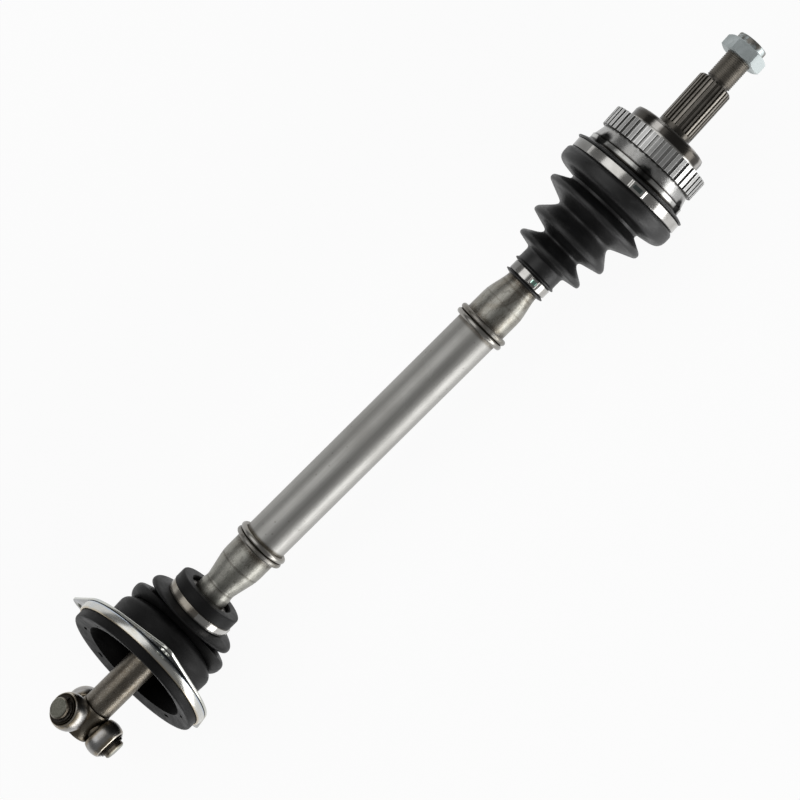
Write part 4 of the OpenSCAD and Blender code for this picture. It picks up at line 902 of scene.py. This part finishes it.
# Painted light: the nut is lighter on the side that faces the low panel.
colour = mixed(tree, ease(tree, number(tree, "ABSOLUTE", lit_side), 0.7, 0.35), colour, (0.5, 0.545, 0.545, 1))
# Brown stain patches on the crown, also standing in for its dark reflection as painted shade.
colour = tinted(tree, colour, stain_and_dark_reflection, 0.8, (0.13, 0.11, 0.088))
wire(tree, colour, shader.inputs["Base Color"])
wire(tree, between(tree, cloudy, 0.42, 0.52), shader.inputs["Roughness"])
bumped(tree, shader, noise(tree, spot, 700.0, 3.0), 0.00006, 0.12)
dress(nut_zinc, "hub_nut")
dress(moulded("lock_nylon", (0.55, 0.56, 0.5, 1), (0.48, 0.49, 0.43, 1), 0.42), "nut_lock_ring")


# The floor: a plain white sheet just under the axle's lowest point.
# It glows white to the camera and in the metal, so that only a faint shadow shows on it.
MIDDLE = 0.34
FLOOR_SIZE, FLOOR_GAP, FLOOR_GLOW = 24, 0.0002, 0.93
select_none()
bpy.ops.mesh.primitive_plane_add(size=FLOOR_SIZE, location=(MIDDLE, 0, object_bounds()[0][2] - FLOOR_GAP))
floor = bpy.context.object
floor.name = "floor"
white, tree, shader = finish("white_floor", Roughness=0.9, Specular_IOR_Level=0.0)
shader.inputs["Base Color"].default_value = (0.92, 0.92, 0.92, 1)
path = add(tree, "LightPath")
seen = number(tree, "ADD", path.outputs["Is Camera Ray"], path.outputs["Is Glossy Ray"])
seen = number(tree, "ADD", seen, path.outputs["Is Transmission Ray"], True)
glow = add(tree, "Emission", Color=(1, 1, 1, 1), Strength=1.0)
surface = add(tree, "MixShader", Fac=number(tree, "MULTIPLY", seen, FLOOR_GLOW))
tree.links.new(shader.outputs[0], surface.inputs[1])
tree.links.new(glow.outputs[0], surface.inputs[2])
tree.links.new(surface.outputs[0], tree.nodes["Material Output"].inputs["Surface"])
floor.data.materials.append(white)


# The studio: a wide soft panel from overhead to the far side, and a long low panel on the near side.
# A dim white surround fills the rest.
world = bpy.data.worlds.new("studio")
world.use_nodes = True
world.node_tree.nodes["Background"].inputs["Color"].default_value = (1, 1, 1, 1)
world.node_tree.nodes["Background"].inputs["Strength"].default_value = 0.2
bpy.context.scene.world = world


def panel(name, place, aim, width, height, radiance):
    """A soft panel: its centre, the point that it faces, its size in metres and its brightness."""
    lamp = bpy.data.lights.new(name, "AREA")
    lamp.shape = "RECTANGLE"
    lamp.size, lamp.size_y = width, height
    lamp.energy = radiance * math.pi * width * height
    holder = bpy.data.objects.new(name, lamp)
    bpy.context.scene.collection.objects.link(holder)
    away = (Vector(place) - Vector(aim)).normalized()
    right = Vector((1, 0, 0))
    up = away.cross(right).normalized()
    holder.matrix_world = Matrix((right, up, away)).transposed().to_4x4()
    holder.matrix_world.translation = Vector(place)
    holder.visible_camera = False


panel("overhead_panel", (MIDDLE, 0.764, 1.052), (MIDDLE, 0, 0), 2.4, 1.0, 1.2)
panel("low_panel", (MIDDLE, -1.4, 0.25), (MIDDLE, 0, 0.02), 2.8, 0.6, 4.4)


# The camera: it looks down on the axle at the photograph's angle, tilted a little along the shaft.
# It is rolled so that the axle lies from the lower left to the upper right.
TILT, ROLL, REACH = math.radians(5.5), math.radians(44.78), 1.275
FOCAL_LENGTH, SENSOR = 78.03, 36
centre = Vector((0.3386, 0.0037, 0))
back = Vector((math.sin(TILT), 0, math.cos(TILT)))
level = Vector((math.cos(TILT), 0, -math.sin(TILT)))
right = math.cos(ROLL) * level - math.sin(ROLL) * Vector((0, 1, 0))
up = math.sin(ROLL) * level + math.cos(ROLL) * Vector((0, 1, 0))
lens = bpy.data.cameras.new("camera")
lens.lens, lens.sensor_width, lens.sensor_height = FOCAL_LENGTH, SENSOR, SENSOR
camera = bpy.data.objects.new("camera", lens)
bpy.context.scene.collection.objects.link(camera)
camera.matrix_world = Matrix((right, up, back)).transposed().to_4x4()
camera.matrix_world.translation = centre + back * REACH
bpy.context.scene.camera = camera
